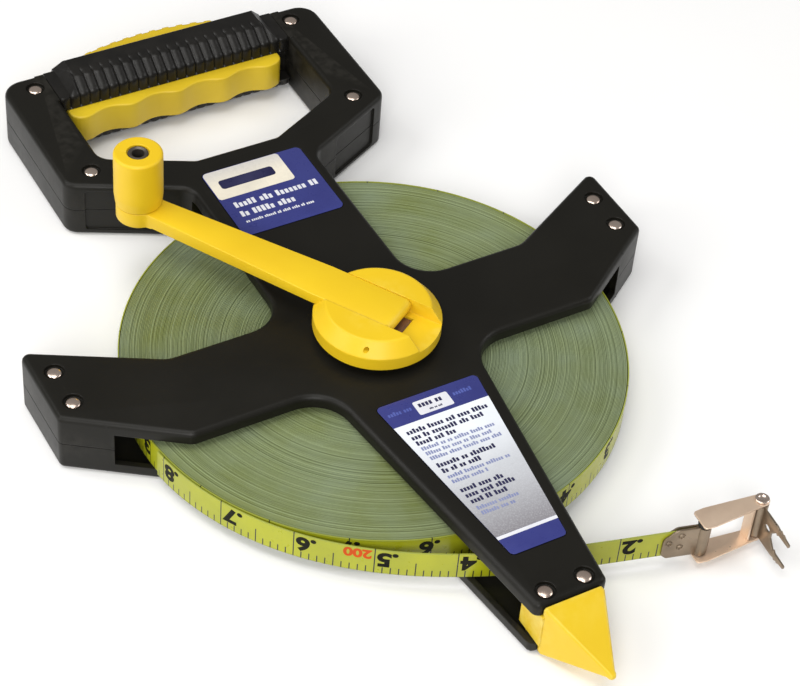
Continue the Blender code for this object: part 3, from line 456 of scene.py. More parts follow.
def face_outwards(shape, mesh):
    """Writes a bmesh to a mesh with its faces turned outwards, and frees it."""
    bmesh.ops.recalc_face_normals(shape, faces=shape.faces)
    shape.to_mesh(mesh)
    shape.free()


def from_bmesh(name, shape, placing=NO_TURN):
    mesh = bpy.data.meshes.new(name)
    face_outwards(shape, mesh)
    return new_object(name, mesh, placing)


def from_lists(name, points, faces, placing=NO_TURN, outwards=False):
    mesh = bpy.data.meshes.new(name)
    mesh.from_pydata([Vector(point) * MM for point in points], [], faces)
    mesh.update()
    if outwards:
        shape = bmesh.new()
        shape.from_mesh(mesh)
        face_outwards(shape, mesh)
    return new_object(name, mesh, placing)


def curve_shape(name, curve, merge):
    """A curve's surface as a bmesh, with points closer than merge made one."""
    guide = in_scene(name, curve)
    bpy.context.view_layer.update()
    graph = bpy.context.evaluated_depsgraph_get()
    mesh = bpy.data.meshes.new_from_object(guide.evaluated_get(graph))
    bpy.data.objects.remove(guide)
    bpy.data.curves.remove(curve)
    shape = bmesh.new()
    shape.from_mesh(mesh)
    bpy.data.meshes.remove(mesh)
    bmesh.ops.remove_doubles(shape, verts=shape.verts, dist=merge)
    return shape


def prism(name, loops, low, high, edge=0.0, placing=NO_TURN, steps=3):
    """A flat outline given thickness, with its edges rounded. Inner loops are holes."""
    curve = bpy.data.curves.new(name, "CURVE")
    curve.dimensions = "2D"
    curve.fill_mode = "BOTH"
    curve.extrude = (abs(high - low) / 2 - edge) * MM
    curve.bevel_depth = edge * MM
    curve.bevel_resolution = steps
    curve.offset = -edge * MM
    for loop in loops:
        spline = curve.splines.new("POLY")
        spline.points.add(len(loop) - 1)
        for point, place in zip(spline.points, loop):
            point.co = (place[0] * MM, place[1] * MM, 0, 1)
        spline.use_cyclic_u = True
    shape = curve_shape(name, curve, 1e-6)
    if len(loops) == 1:
        single_caps(shape)
    middle = Matrix.Translation((0, 0, (low + high) / 2 * MM))
    bmesh.ops.transform(shape, matrix=middle, verts=shape.verts)
    return from_bmesh(name, shape, placing)


def single_caps(shape):
    """Makes each end of a prism one face, in place of the curve's triangles."""
    reach = max(vert.co.z for vert in shape.verts) - 1e-7
    caps = [face for face in shape.faces if abs(sum(v.co.z for v in face.verts))
            > reach * len(face.verts)]
    bmesh.ops.delete(shape, geom=caps, context="FACES")
    loose = [edge for edge in shape.edges if edge.is_wire]
    bmesh.ops.delete(shape, geom=loose, context="EDGES")
    bmesh.ops.holes_fill(shape, edges=[e for e in shape.edges if e.is_boundary], sides=0)


def blocks(name, boxes, placing=NO_TURN):
    """Separate boxes (x0, x1, y0, y1, z0, z1) as one mesh."""
    shape = bmesh.new()
    for x0, x1, y0, y1, z0, z1 in boxes:
        centre = Vector((x0 + x1, y0 + y1, z0 + z1)) * MM / 2
        size = Matrix.Diagonal((*(Vector((x1 - x0, y1 - y0, z1 - z0)) * MM), 1))
        bmesh.ops.create_cube(shape, size=1, matrix=Matrix.Translation(centre) @ size)
    return from_bmesh(name, shape, placing)


def rods(name, centres, radius, low, high, sides=40, placing=NO_TURN):
    """Separate upright cylinders as one mesh."""
    shape = bmesh.new()
    for x, y in centres:
        middle = Matrix.Translation(Vector((x, y, (low + high) / 2)) * MM)
        bmesh.ops.create_cone(
            shape, cap_ends=True, segments=sides, matrix=middle,
            radius1=radius * MM, radius2=radius * MM, depth=abs(high - low) * MM,
        )
    return from_bmesh(name, shape, placing)


def lathe(name, profile, sides=96, placing=NO_TURN, ring=False):
    """A profile of (radius, height) points turned about Z. A ring's profile closes on itself."""
    shape = bmesh.new()
    angles = [math.tau * k / sides for k in range(sides)]
    rings = []
    for radius, height in profile:
        if radius < 1e-6:
            rings.append([shape.verts.new((0, 0, height * MM))] * sides)
        else:
            rings.append([shape.verts.new(Vector((radius * math.cos(a), radius * math.sin(a),
                                                  height)) * MM) for a in angles])
    pairs = list(zip(rings, rings[1:] + rings[:1])) if ring else list(zip(rings, rings[1:]))
    for upper, lower in pairs:
        for k in range(sides):
            j = (k + 1) % sides
            face = list(dict.fromkeys((upper[k], lower[k], lower[j], upper[j])))
            if len(face) > 2:
                shape.faces.new(face)
    return from_bmesh(name, shape, placing)


def both_ends(upper, total):
    """A lathe profile's upper half, followed by its mirror image; total is low plus high."""
    return upper + [(radius, total - z) for radius, z in reversed(upper)]


def loft(name, rings, placing=NO_TURN):
    """A closed tube through rings that have the same number of points, with flat ends."""
    size = len(rings[0])
    points = [point for ring in rings for point in ring]
    faces = []
    for k in range(len(rings) - 1):
        for i in range(size):
            j = (i + 1) % size
            faces.append((k * size + i, k * size + j, (k + 1) * size + j, (k + 1) * size + i))
    faces.append(tuple(reversed(range(size))))
    faces.append(tuple(range((len(rings) - 1) * size, len(rings) * size)))
    return from_lists(name, points, faces, placing, outwards=True)


def combine(target, operation, *others):
    for other in others:
        boolean = target.modifiers.new(other.name, "BOOLEAN")
        boolean.operation = operation
        boolean.object = other
        boolean.solver = "EXACT"
    return target


def cut(target, *others):
    return combine(target, "DIFFERENCE", *others)


def add(target, *others):
    return combine(target, "UNION", *others)


def bevelled(obj, width, steps=3, angle=35):
    bevel = obj.modifiers.new("soft_edges", "BEVEL")
    bevel.width = width * MM
    bevel.segments = steps
    bevel.limit_method = "ANGLE"
    bevel.angle_limit = math.radians(angle)
    bevel.harden_normals = False
    return obj


def settle(obj):
    """Applies the modifiers and the placing to the mesh, and clears the helpers."""
    bpy.context.view_layer.update()
    graph = bpy.context.evaluated_depsgraph_get()
    mesh = bpy.data.meshes.new_from_object(obj.evaluated_get(graph))
    mesh.transform(obj.matrix_world)
    obj.modifiers.clear()
    obj.data = mesh
    obj.matrix_world = NO_TURN
    HELPERS.remove(obj)
    for helper in HELPERS:
        bpy.data.objects.remove(helper)
    HELPERS.clear()
    return obj


def show(obj, material, body, slot, *nodes, sharp=32):
    """Makes obj a finished piece that rides on a body and stands for CAD nodes."""
    settle(obj)
    obj.name = obj.name + "_shell" if obj.name in frame["nodes"] else obj.name
    dress(obj, material, sharp)
    if body:
        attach(obj, body)
    if nodes:
        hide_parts(*nodes)
    return obj


def paint(obj, material):
    obj.data.materials.clear()
    obj.data.materials.append(MATERIALS[material])


def dress(obj, material, sharp=32):
    paint(obj, material)
    obj.data.polygons.foreach_set("material_index", [0] * len(obj.data.polygons))
    obj.data.shade_smooth()
    obj.data.set_sharp_from_angle(angle=math.radians(sharp))
    if not obj.data.uv_layers:
        weighted = obj.modifiers.new("weighted_normals", "WEIGHTED_NORMAL")
        weighted.keep_sharp = True


# Frame halves

def frame_corners():
    side = [
        (19.0, OPENING_FRONT, 6.0), (OPENING_HALF, -142.1, 8.0), (OPENING_HALF, HANDLE_BACK, 3.0),
        (HANDLE_HALF, HANDLE_BACK, 9.0), (HANDLE_HALF, HANDLE_FRONT, 7.0),
        (NECK_HALF, NECK_TOP, 8.0), (NECK_HALF, WAIST_BACK, 15.0), (79.5, WAIST_BACK, 10.0),
        (ARM_REACH, ARM_BACK, 3.0), (ARM_REACH, ARM_FRONT, 3.0), (88.3, WAIST_FRONT, 6.0),
        (NOSE_ROOT_HALF, WAIST_FRONT, 16.0), (NOSE_HALF, NOSE_TIP, 3.0),
    ]
    right = [(across, -forward, radius) for across, forward, radius in side]
    left = [(-x, y, radius) for x, y, radius in right]
    return left + right[::-1]


def rivet_places():
    """Centres of the rivets by name, from their CAD boxes."""
    places = {}
    for name in RIVET_NAMES:
        low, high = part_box(name)
        places[name] = ((low.x + high.x) / 2 / MM, (low.y + high.y) / 2 / MM)
    return places


def nose_places():
    return [place for place in rivet_places().values() if place[1] <= NOSE_LINE]


def panel_cutters(side):
    """A shallow recess in each slanted side wall of the handle, rounded at its corners."""
    start = Vector((HANDLE_HALF, -HANDLE_FRONT))
    end = Vector((NECK_HALF, -NECK_TOP))
    along = (end - start).normalized()
    middle = start.lerp(end, PANEL_SHARE)
    angle = math.atan2(along.y, along.x)
    return [
        prism(f"{side}_panel_{sign}", [rectangle(*PANEL)], -PANEL_DEPTH, PANEL_DEPTH, 0.0,
              frame_at(sign * middle.x, middle.y, angle if sign > 0 else math.pi - angle) @ FLAT_Y)
        for sign in (1, -1)
    ]


def frame_half(name, front):
    """One half, drawn as the front one. The rear one is its mirror image across the parting
    plane, apart from the middle: the front has an open bearing, the rear a blind one."""
    def height(z):
        return z if front else THICKNESS - z

    def levels(low, high):
        return sorted((height(low), height(high)))

    far = 3 * ARM_REACH
    corners = frame_corners()
    inner_face = THICKNESS - RIM
    joint_face = PARTING + SEAM
    depth = THICKNESS - joint_face + 2 * EDGE
    half = prism(name, [rounded(corners, 10)], *levels(THICKNESS - depth, THICKNESS), EDGE,
                 steps=4)
    cut(half, blocks(f"{name}_parting", [(-far, far, -far, far, *levels(0, joint_face))]))
    open_part = (-ARM_BOX, ARM_BOX, -far, -HANDLE_BOX, *levels(joint_face - 5, inner_face))
    cut(half, blocks(f"{name}_open_part", [open_part]))
    cut(half, prism(f"{name}_hollow", [rounded(inset(corners, SKIN))],
                    *levels(0, THICKNESS - SKIN)))
    roof = THICKNESS - SKIN / 2
    wall_y = -HANDLE_BOX
    walls = [(-NECK_HALF + 0.8, NECK_HALF - 0.8, wall_y, wall_y + SKIN, *levels(joint_face, roof))]
    for sign in (1, -1):
        jamb = sorted((sign * ARM_BOX, sign * (ARM_BOX + SKIN)))
        walls.append((*jamb, *JAMB, *levels(joint_face, roof)))
    add(half, blocks(f"{name}_walls", walls))
    bar_top = BAR_TOP if front else THICKNESS - BAR_LOW
    bar_low = THICKNESS - CORE_LOW + GAP
    add(half, blocks(f"{name}_grip_bar", [(-OPENING_HALF - 1, OPENING_HALF + 1, BAR_FRONT,
                                           BAR_BACK, *levels(bar_low, bar_top))]))
    posts = [(*ends, BAR_FRONT, BAR_BACK, *levels(joint_face, bar_low + 1))
             for ends in ((CORE_RIGHT + GAP, OPENING_HALF + 1), (-OPENING_HALF - 1, CORE_LEFT - GAP))]
    add(half, blocks(f"{name}_grip_posts", posts))
    places = list(rivet_places().values())
    outer = [place for place in places if place[1] > NOSE_LINE]
    nose = nose_places()
    if front:
        shoulders = [(*sorted((sign * OPENING_HALF, sign * (OPENING_HALF + SHOULDER_WIDTH))),
                      SHOULDER_FRONT, SHOULDER_BACK, inner_face - 1, THICKNESS) for sign in (1, -1)]
        add(half, blocks("grip_shoulders", shoulders))
    add(half, rods(f"{name}_bosses", outer, BOSS, *levels(joint_face, roof)))
    add(half, rods(f"{name}_nose_bosses", nose, BOSS, *levels(inner_face, roof)))
    if front:
        add(half, rods(f"{name}_hub_boss", [(0, 0)], HUB_BOSS, inner_face, HUB_BOSS_TOP, 96))
        cut(half, rods(f"{name}_bearing", [(0, 0)], BEARING, 0, 40, 64))
    else:
        add(half, rods(f"{name}_hub_boss", [(0, 0)], REAR_BOSS, SKIN / 2, RIM - 0.1, 64))
        cut(half, rods(f"{name}_bearing", [(0, 0)], BEARING, SKIN + 0.1, 20, 64))
    cut(half, rods(f"{name}_bores", places, RIVET_BORE, -1, THICKNESS + 1, 24))
    seat = levels(THICKNESS - COUNTERBORE_DEPTH, THICKNESS + 1)
    cut(half, rods(f"{name}_counterbores", places, COUNTERBORE, *seat, 48))
    cut(half, *panel_cutters(name))
    return half


def label_corners():
    upper = [(-22, 71.6, 2.5), (24, 71.6, 2.5), (24, 114, 2.5), (-22, 114, 2.5)]
    lower = [(-10.6, -122.4, 2), (12.8, -122.4, 2), (23.9, -37, 2), (-20.6, -37, 2)]
    return {"upper_label": upper, "lower_label": lower}


def make_frames():
    front = frame_half("front_frame", True)
    for name, corners in label_corners().items():
        seat = rounded(inset(corners, -GAP))
        cut(front, prism(f"{name}_seat", [seat], THICKNESS - LABEL_DEPTH, THICKNESS + 1))
    show(front, "frame", "frame", "frame_plastic", "front_frame")
    show(frame_half("rear_frame", False), "frame", "frame", "frame_plastic", "rear_frame")


def make_rivets():
    """Low domed heads joined by a shank."""
    head, shank, flat, rise = 2.9, 1.6, 0.3, 0.9
    seat = THICKNESS - COUNTERBORE_DEPTH + GAP
    dome = [(head * math.sin(a), seat + flat + rise * math.cos(a)) for a in
            (math.radians(k) for k in range(0, 91, 9))]
    profile = both_ends(dome + [(head, seat), (shank, seat)], THICKNESS)
    for name, (x, y) in rivet_places().items():
        piece = lathe(name, profile, 40, frame_at(x, y))
        show(piece, "rivet", "frame", "rivet_steel", name, sharp=50)


def make_spike():
    """Block held between the halves, and a square pyramid with softened edges."""
    share = (141 - WAIST_FRONT) / (NOSE_TIP - WAIST_FRONT)
    half = NOSE_ROOT_HALF + share * (NOSE_HALF - NOSE_ROOT_HALF) - 3
    low, high = RIM + GAP, THICKNESS - RIM - GAP
    tip = span("nose_spike", 1)[0]
    base, foot, tongue = 12.25, -149.3, (-148.8, -135)
    spike = blocks("nose_spike", [(-half, half, *tongue, low, high)])
    rings = []
    for y, size in ((-147.6, base), (foot, base), (tip + 2.4, 1.7), (tip + 1.0, 1.4),
                    (tip + 0.25, 0.95), (tip, 0.45)):
        corner = min(1.3, size * 0.6)
        outline = rectangle(-size, size, PARTING - size, PARTING + size, corner)
        rings.append([(x, y, z) for x, z in outline])
    add(spike, loft("spike_pyramid", rings))
    cut(spike, rods("spike_bores", nose_places(), RIVET_BORE, 0, 30, 24))
    show(spike, "spike", "frame", "spike_plastic", "nose_spike")


# Labels

def plates(name, outlines, top, thickness=0.12):
    """Thin separate plates with these outlines, as one mesh."""
    points, faces = [], []
    for outline in outlines:
        count, first = len(outline), len(points)
        points += [(p[0], p[1], top - thickness) for p in outline]
        points += [(p[0], p[1], top) for p in outline]
        faces.append([first + count + k for k in range(count)])
        faces.append([first + k for k in reversed(range(count))])
        for k in range(count):
            j = (k + 1) % count
            faces.append((first + k, first + j, first + count + j, first + count + k))
    return from_lists(name, points, faces)


def word_line(left, right, y, height, rand):
    """A line of print as words of plain upright blocks, with no letter shapes."""
    wide, gap = 0.42 * height, 0.17 * height
    marks, x = [], left
    while x < right - 2 * wide:
        for _ in range(rand.randint(2, 8)):
            if x + wide > right:
                break
            tall = height * rand.choice((0.74, 0.74, 1.0))
            marks.append(rectangle(x, x + wide, y - height / 2, y - height / 2 + tall))
            x += wide + gap
        x += 0.45 * height
    return marks


def make_labels():
    top = span("upper_label", 2)[1]
    for name, corners in label_corners().items():
        film = prism(f"{name}_film", [rounded(corners)], top - 0.25, top, 0.08, steps=2)
        show(film, "blue", "frame", name, name)
    rand = random.Random(11)
    panel = rounded([(-21.7, 95.8, 1.5), (13.5, 95.8, 1.5), (13.5, 113.7, 1.5), (-21.7, 113.7, 2)])
    show(plates("upper_label_panel", [panel], top + PRINT_RISE), "silver_panel", "frame", "upper_label")
    lines = []
    for y, height, right in ((90.6, 3.4, 21.0), (84.6, 3.4, 8.0), (79.6, 1.5, 14.0)):
        lines += word_line(-17.5, right, y, height, rand)
    show(plates("upper_label_lines", lines, top + PRINT_RISE), "white", "frame", "upper_label")
    mark = [rectangle(-17.5, 7.5, 101.6, 107.2, 1.4)]
    show(plates("upper_label_mark", mark, top + 2 * PRINT_RISE), "navy", "frame", "upper_label")
    make_lower_print(top, rand)


def make_lower_print(top, rand):
    """Header box, silver panel with grouped lines, white stripe."""
    end, length = -122.4, 85.4

    def left_at(y):
        return -10.6 + (y - end) / length * -10.0

    def right_at(y):
        return 12.8 + (y - end) / length * 11.1

    def band(low, high):
        return [Vector(p) for p in ((left_at(low), low), (right_at(low), low),
                                    (right_at(high), high), (left_at(high), high))]

    show(plates("lower_label_panel", [band(-112.6, -49.3)], top + PRINT_RISE), "silver", "frame",
         "lower_label")
    box = rectangle(-6.4, 8.6, -47.4, -40.2, 0.8)
    show(plates("lower_label_stripe", [band(-114.2, -112.7), box], top + PRINT_RISE), "white",
         "frame", "lower_label")
    side = word_line(-18.0, -8.0, -42.6, 2.0, rand) + word_line(10.4, 21.0, -42.6, 2.0, rand)
    show(plates("lower_label_header", side, top + PRINT_RISE), "faint_blue", "frame", "lower_label")
    dark, light = word_line(-4.8, 7.2, -42.4, 2.6, rand), []
    dark += word_line(-1.6, 4.2, -45.7, 1.0, rand)
    groups = (((-53.4, -56.6, -59.8), True, (20.5, 17.5, 3.0)),
              ((-63.0, -65.8, -68.6), False, (17.5, 14.0, 17.0)),
              ((-72.8, -76.0), True, (13.5, 4.0)), ((-79.4, -82.2), False, (14.5, 3.5)),
              ((-87.2, -90.4, -93.6), True, (6.5, 10.0, 6.5)),
              ((-97.4, -100.2), False, (7.5, 4.0)))
    for rows, bold, stops in groups:
        for y, stop in zip(rows, stops):
            height = 2.3 if bold else 1.8
            line = word_line(left_at(y) + 2.8, min(stop, right_at(y) - 2), y, height, rand)
            (dark if bold else light).extend(line)
    show(plates("lower_label_lines", dark, top + 2 * PRINT_RISE), "navy", "frame", "lower_label")
    show(plates("lower_label_small", light, top + 2 * PRINT_RISE), "pale_blue", "frame", "lower_label")


# Grip

def resample(outline, step):
    """Evenly spaced points on a closed outline, with outward normals."""
    size = len(outline)
    pieces = [(outline[k], outline[(k + 1) % size]) for k in range(size)]
    points = []
    for start, end in pieces:
        count = max(1, round((end - start).length / step))
        points += [start.lerp(end, i / count) for i in range(count)]
    result = []
    for k, point in enumerate(points):
        along = (points[(k + 1) % len(points)] - points[k - 1]).normalized()
        result.append((point, Vector((along.y, -along.x))))
    return result


def ribbed_sleeve(name, corners, mask, ends):
    """A sleeve along X whose profile sinks between ribs where the mask says so."""
    profile = resample(rounded(corners, 6), 0.7)
    area = sum(a[0].cross(b[0]) for a, b in zip(profile, profile[1:] + profile[:1]))
    flip = 1 if area > 0 else -1
    pitch, stations = 110 / 24, 384
    rings = []
    for k in range(stations + 1):
        x = GRIP_HALF * (2 * k / stations - 1)
        from_middle = 2 * ((x / pitch) % 1.0) - 1
        depth = RIB_DEPTH * (1 - math.sqrt(1 - RIB_ROUND * from_middle**2))
        ring = []
        for point, normal in profile:
            sink = depth * mask(point) * flip
            place = point - normal * sink
            ring.append((x, place.x, place.y))
        rings.append(ring)
    body = loft(name, rings)
    (far, start), (near, end) = ends
    beyond = 2 * end - start
    for sign in (1, -1):
        wedge = [(far, start), (HANDLE_HALF, start), (HANDLE_HALF, beyond),
                 (2 * near - far, beyond)]
        outline = [Vector((sign * across, z)) for across, z in wedge]
        cut(body, prism(f"{name}_end_{sign}", [outline], -260, -150, 0.0, FLAT_Y))
    return body


def smooth_step(value, low, high):
    t = min(max((value - low) / (high - low), 0.0), 1.0)
    return t * t * (3 - 2 * t)


def core_outline():
    """Finger scallops in front, rounded ends, and a back that reaches into the palm swell."""
    count, corner = 200, 3.0
    start, end = CORE_LEFT, CORE_RIGHT
    points = []
    for k in range(count + 1):
        across = start + (end - start) * k / count
        wave = math.cos(math.tau * (across + 2) / 22.0)
        wave = 1.3 * (wave + 0.18 * (wave * wave - 0.5))
        near = max(start + corner - across, across - end + corner, 0.0)
        turn = corner - math.sqrt(max(corner**2 - near**2, 0.0))
        points.append(Vector((across, 178.0 - wave + turn)))
    back = [(end, 206.9), (45.5, 206.9), (45.5, 210.9), (-45.5, 210.9), (-45.5, 206.9),
            (start, 206.9)]
    return points + [Vector(place) for place in back]


def palm_edge(x):
    """How far back the palm swell reaches, across the grip."""
    sag = (PALM_BACK - PALM_ROOT - 3) / PALM_HALF**2
    return PALM_BACK - sag * x**2


def palm_outline():
    count = 60
    places = [PALM_HALF * (1 - 2 * k / count) for k in range(count + 1)]
    arc = [Vector((x, palm_edge(x))) for x in places]
    return [Vector((-PALM_HALF, PALM_ROOT)), Vector((PALM_HALF, PALM_ROOT))] + arc


def make_grip():
    core = prism("grip_core", [core_outline()], CORE_LOW, CORE_HIGH, 0.8, steps=3)
    palm = prism("palm_swell", [palm_outline()], 3.5, THICKNESS - 3.5, 2.0, steps=4)
    pitch, half, notches = 6.5, 2.0, []
    for k in range(-6, 7):
        x = k * pitch
        edge = palm_edge(x)
        for levels in ((THICKNESS - 5.0, THICKNESS), (0.0, 5.0)):
            notches.append((x - half, x + half, edge - 2.2, edge + 3, *levels))
    cut(palm, blocks("palm_notches", notches))
    add(core, palm)
    show(core, "grip_yellow", "frame", "grip_yellow", "grip_core")

    seat = CORE_HIGH + GAP
    front = [(183.6, seat, 0), (206.6, seat, 0), (206.4, 25.0, 1.0), (203.4, SLEEVE_TOP, 1.2),
             (191.0, SLEEVE_TOP, 3.0), (183.8, 27.0, 3.0)]
    piece = ribbed_sleeve(
        "grip_sleeve_front", front,
        lambda p: smooth_step(RIB_EDGE - p.x, 0, 3) * smooth_step(p.y - seat, 0.0, 1.0),
        ((50.0, THICKNESS), (45.4, SLEEVE_TOP)))
    cut(piece, blocks("sleeve_end_backs", [(50.2, 60, 203.9, 210, 15, 35),
                                           (-60, -50.2, 203.9, 210, 15, 35)]))
    channel = (-70, 70, BAR_FRONT - GAP, BAR_BACK + GAP)
    cut(piece, blocks("front_channel", [(*channel, seat - 3, BAR_TOP + GAP)]))
    show(piece, "sleeve", "frame", "grip_rubber", "grip_sleeve_front")

    seat = CORE_LOW - GAP
    rear = [(181.0, seat, 0), (181.4, 3.0, 1.0), (184.5, 0.2, 1.0), (203.4, 0.2, 1.0),
            (206.4, 2.6, 1.0), (206.6, seat, 0)]
    piece = ribbed_sleeve(
        "grip_sleeve_rear", rear,
        lambda p: smooth_step(RIB_EDGE - p.x, 0, 3) * smooth_step(seat - p.y, 0.2, 1.5),
        ((54.0, 3.2), (51.0, 0.2)))
    cut(piece, blocks("rear_channel", [(*channel, BAR_LOW - GAP, seat + 3)]))
    show(piece, "sleeve", "frame", "grip_rubber", "grip_sleeve_rear")


# Wound tape

def make_roll():
    """Every turn of the tape is a ridge of its own height on both faces of the roll."""
    rand = random.Random(5)
    turns, sides, groove = 122, 180, 0.34
    outer = ROLL_RADIUS - 0.75
    pitch = (outer - ROLL_INNER) / turns
    drift, profile = 0.0, []
    for k in range(turns):
        drift = 0.8 * drift + 0.2 * rand.uniform(-1, 1)
        loose = 1.6 if 2 < k < 18 else 1.0
        sink = min(max(0.2 + 0.36 * drift * loose + rand.uniform(-0.08, 0.08) * loose, 0.02), 0.7)
        wave = (rand.uniform(0.02, 0.06) * loose, rand.randint(1, 3), rand.uniform(0, math.tau))
        start = ROLL_INNER + k * pitch
        profile.append((start + 0.05, sink, wave))
        profile.append((start + pitch - 0.14, sink, wave))
        profile.append((start + pitch - 0.05, sink + groove, wave))
    points, faces = [], []
    size = 2 * len(profile)
    for i in range(sides):
        angle = math.tau * i / sides
        turn = (math.cos(angle), math.sin(angle))
        levels = []
        for radius, sink, (swell, count, phase) in profile:
            level = max(sink + swell * math.sin(count * angle + phase), 0.0)
            wander = 0.06 * math.sin(3 * angle + radius * 0.3)
            place = radius + wander * smooth_step(outer - radius, 0.0, 6.0)
            levels.append((place * turn[0], place * turn[1], level))
        points += [(x, y, TAPE_HIGH - level) for x, y, level in levels]
        points += [(x, y, TAPE_LOW + level) for x, y, level in reversed(levels)]
    for i in range(sides):
        j = (i + 1) % sides
        for k in range(size):
            n = (k + 1) % size
            faces.append((i * size + k, i * size + n, j * size + n, j * size + k))
    roll = from_lists("wound_tape", points, faces, outwards=True)
    show(roll, "wound", "reel", "tape_edges", "tape_roll", sharp=60)


def ribbon(name, path, readings, thickness, closed=False):
    """A strip of tape on edge along a path, with the scale's reading and height as its UVs."""
    size = len(path)
    points, faces, marks = [], [], []
    for k, point in enumerate(path):
        back = path[k - 1] if closed else path[max(k - 1, 0)]
        ahead = path[(k + 1) % size] if closed else path[min(k + 1, size - 1)]
        heading = (ahead - back).normalized()
        aside = Vector((heading.y, -heading.x)) * thickness / 2
        for place in (point + aside, point - aside):
            points += [(place.x, place.y, TAPE_LOW), (place.x, place.y, TAPE_HIGH)]
    around = ((0, 1), (1, 3), (3, 2), (2, 0))
    for k in range(size if closed else size - 1):
        n = (k + 1) % size
        for a, b in around:
            faces.append((4 * k + a, 4 * n + a, 4 * n + b, 4 * k + b))
            start, end = readings[k], readings[k + 1]
            heights = [(a % 2, start), (a % 2, end), (b % 2, end), (b % 2, start)]
            marks += [(reading * MM, height) for height, reading in heights]
    if not closed:
        faces.append((0, 1, 3, 2))
        last = 4 * (size - 1)
        faces.append((last, last + 2, last + 3, last + 1))
        marks += [(readings[0] * MM, h) for h in (0, 1, 1, 0)]
        marks += [(readings[size - 1] * MM, h) for h in (0, 0, 1, 1)]
    strip = from_lists(name, points, faces)
    layer = strip.data.uv_layers.new(name="scale")
    for loop, mark in zip(layer.data, marks):
        loop.uv = mark
    return strip


def make_outer_wrap():
    count = 240
    path = [unit(math.tau * k / count) * WRAP_RADIUS for k in range(count)]
    start = ROLL_READING + ROLL_MARK * ROLL_RADIUS
    readings = [start - math.tau * k / count * ROLL_RADIUS for k in range(count + 1)]
    wrap = ribbon("outer_wrap", path, readings, TAPE_THICKNESS, closed=True)
    show(wrap, "face", "reel", "tape_coating")


# Scale numbers

def number_mesh(text, height, depth):
    """A number as a thin solid: x along it, y up from its baseline, z out of the tape."""
    curve = bpy.data.curves.new(text, "FONT")
    curve.body = text
    curve.size = 1.0
    curve.resolution_u = 4
    curve.offset = 0.042
    curve.extrude = 0.01
    shape = curve_shape(text, curve, 1e-5)
    bmesh.ops.recalc_face_normals(shape, faces=shape.faces)
    tall = max(v.co.y for v in shape.verts)
    wide = 1.12 * height / tall
    points = [Vector((v.co.x * wide, v.co.y * height / tall, v.co.z / 0.02 * depth))
              for v in shape.verts]
    shape.verts.index_update()
    faces = [[v.index for v in face.verts] for face in shape.faces]
    shape.free()
    return points, faces


def print_numbers(name, rows, place_at, body, material="ink"):
    """Rows of (text, reading, alignment, baseline, height) laid upside down on the tape."""
    points, faces = [], []
    for text, reading, ahead, baseline, height in rows:
        shape, sides = number_mesh(text, height, NUMBER_RISE)
        low, high = min(p.x for p in shape), max(p.x for p in shape)
        shift = reading + NUMBER_AFTER - low if ahead else reading - NUMBER_BEFORE - high
        faces += [[len(points) + k for k in side] for side in sides]
        for point in shape:
            spot, outward = place_at(point.x + shift)
            spot = spot + outward * (TAPE_THICKNESS / 2 + 0.03 + point.z)
            points.append((spot.x, spot.y, TAPE_HIGH - baseline - point.y))
    obj = from_lists(name, points, faces)
    return show(obj, material, body, "tape_coating")


def on_roll(reading):
    angle = ROLL_MARK - (reading - ROLL_READING) / ROLL_RADIUS
    return unit(angle) * WRAP_RADIUS, unit(angle)


def scale_rows(first, last):
    """A number before each tenth's line: tenths as .1 to .9, whole feet as plain numbers."""
    rows = []
    for tenth in range(first, last):
        text = f".{tenth % 10}" if tenth % 10 else str(tenth // 10 % 10 or 1)
        rows.append((text, tenth * NUMBER_TICKS * TICK, False, 1.7, 7.3))
    return rows


# Free end of the tape

def leaving_path():
    """Middle line of the free span, from the roll to the ferrule."""
    easing = 1.5
    turn = HEADING - (LEAVE_ANGLE + math.pi / 2)
    length = turn * LEAVE_RADIUS * (easing + 1) / easing
    steps = 30
    step = length / steps
    points = [LEAVE_RADIUS * unit(LEAVE_ANGLE)]
    for k in range(steps):
        gone = (k + 0.5) / steps
        bend = length * (gone - gone ** (easing + 1) / (easing + 1)) / LEAVE_RADIUS
        heading = LEAVE_ANGLE + math.pi / 2 + bend
        points.append(points[-1] + step * unit(heading))
    aside = Vector((-AHEAD.y, AHEAD.x))
    drift = (points[-1] - FERRULE).dot(aside)
    return [point - aside * drift * (k / steps) ** 2 for k, point in enumerate(points)]


def smooth_path(points, parts=6):
    """Catmull-Rom curve through the points."""
    path = []
    for k in range(len(points) - 1):
        p0, p1 = points[max(k - 1, 0)], points[k]
        p2, p3 = points[k + 1], points[min(k + 2, len(points) - 1)]
        for i in range(parts):
            t = i / parts
            path.append(0.5 * (2 * p1 + (p2 - p0) * t + (2 * p0 - 5 * p1 + 4 * p2 - p3) * t**2
                               + (3 * p1 - p0 - 3 * p2 + p3) * t**3))
    return path + [points[-1]]


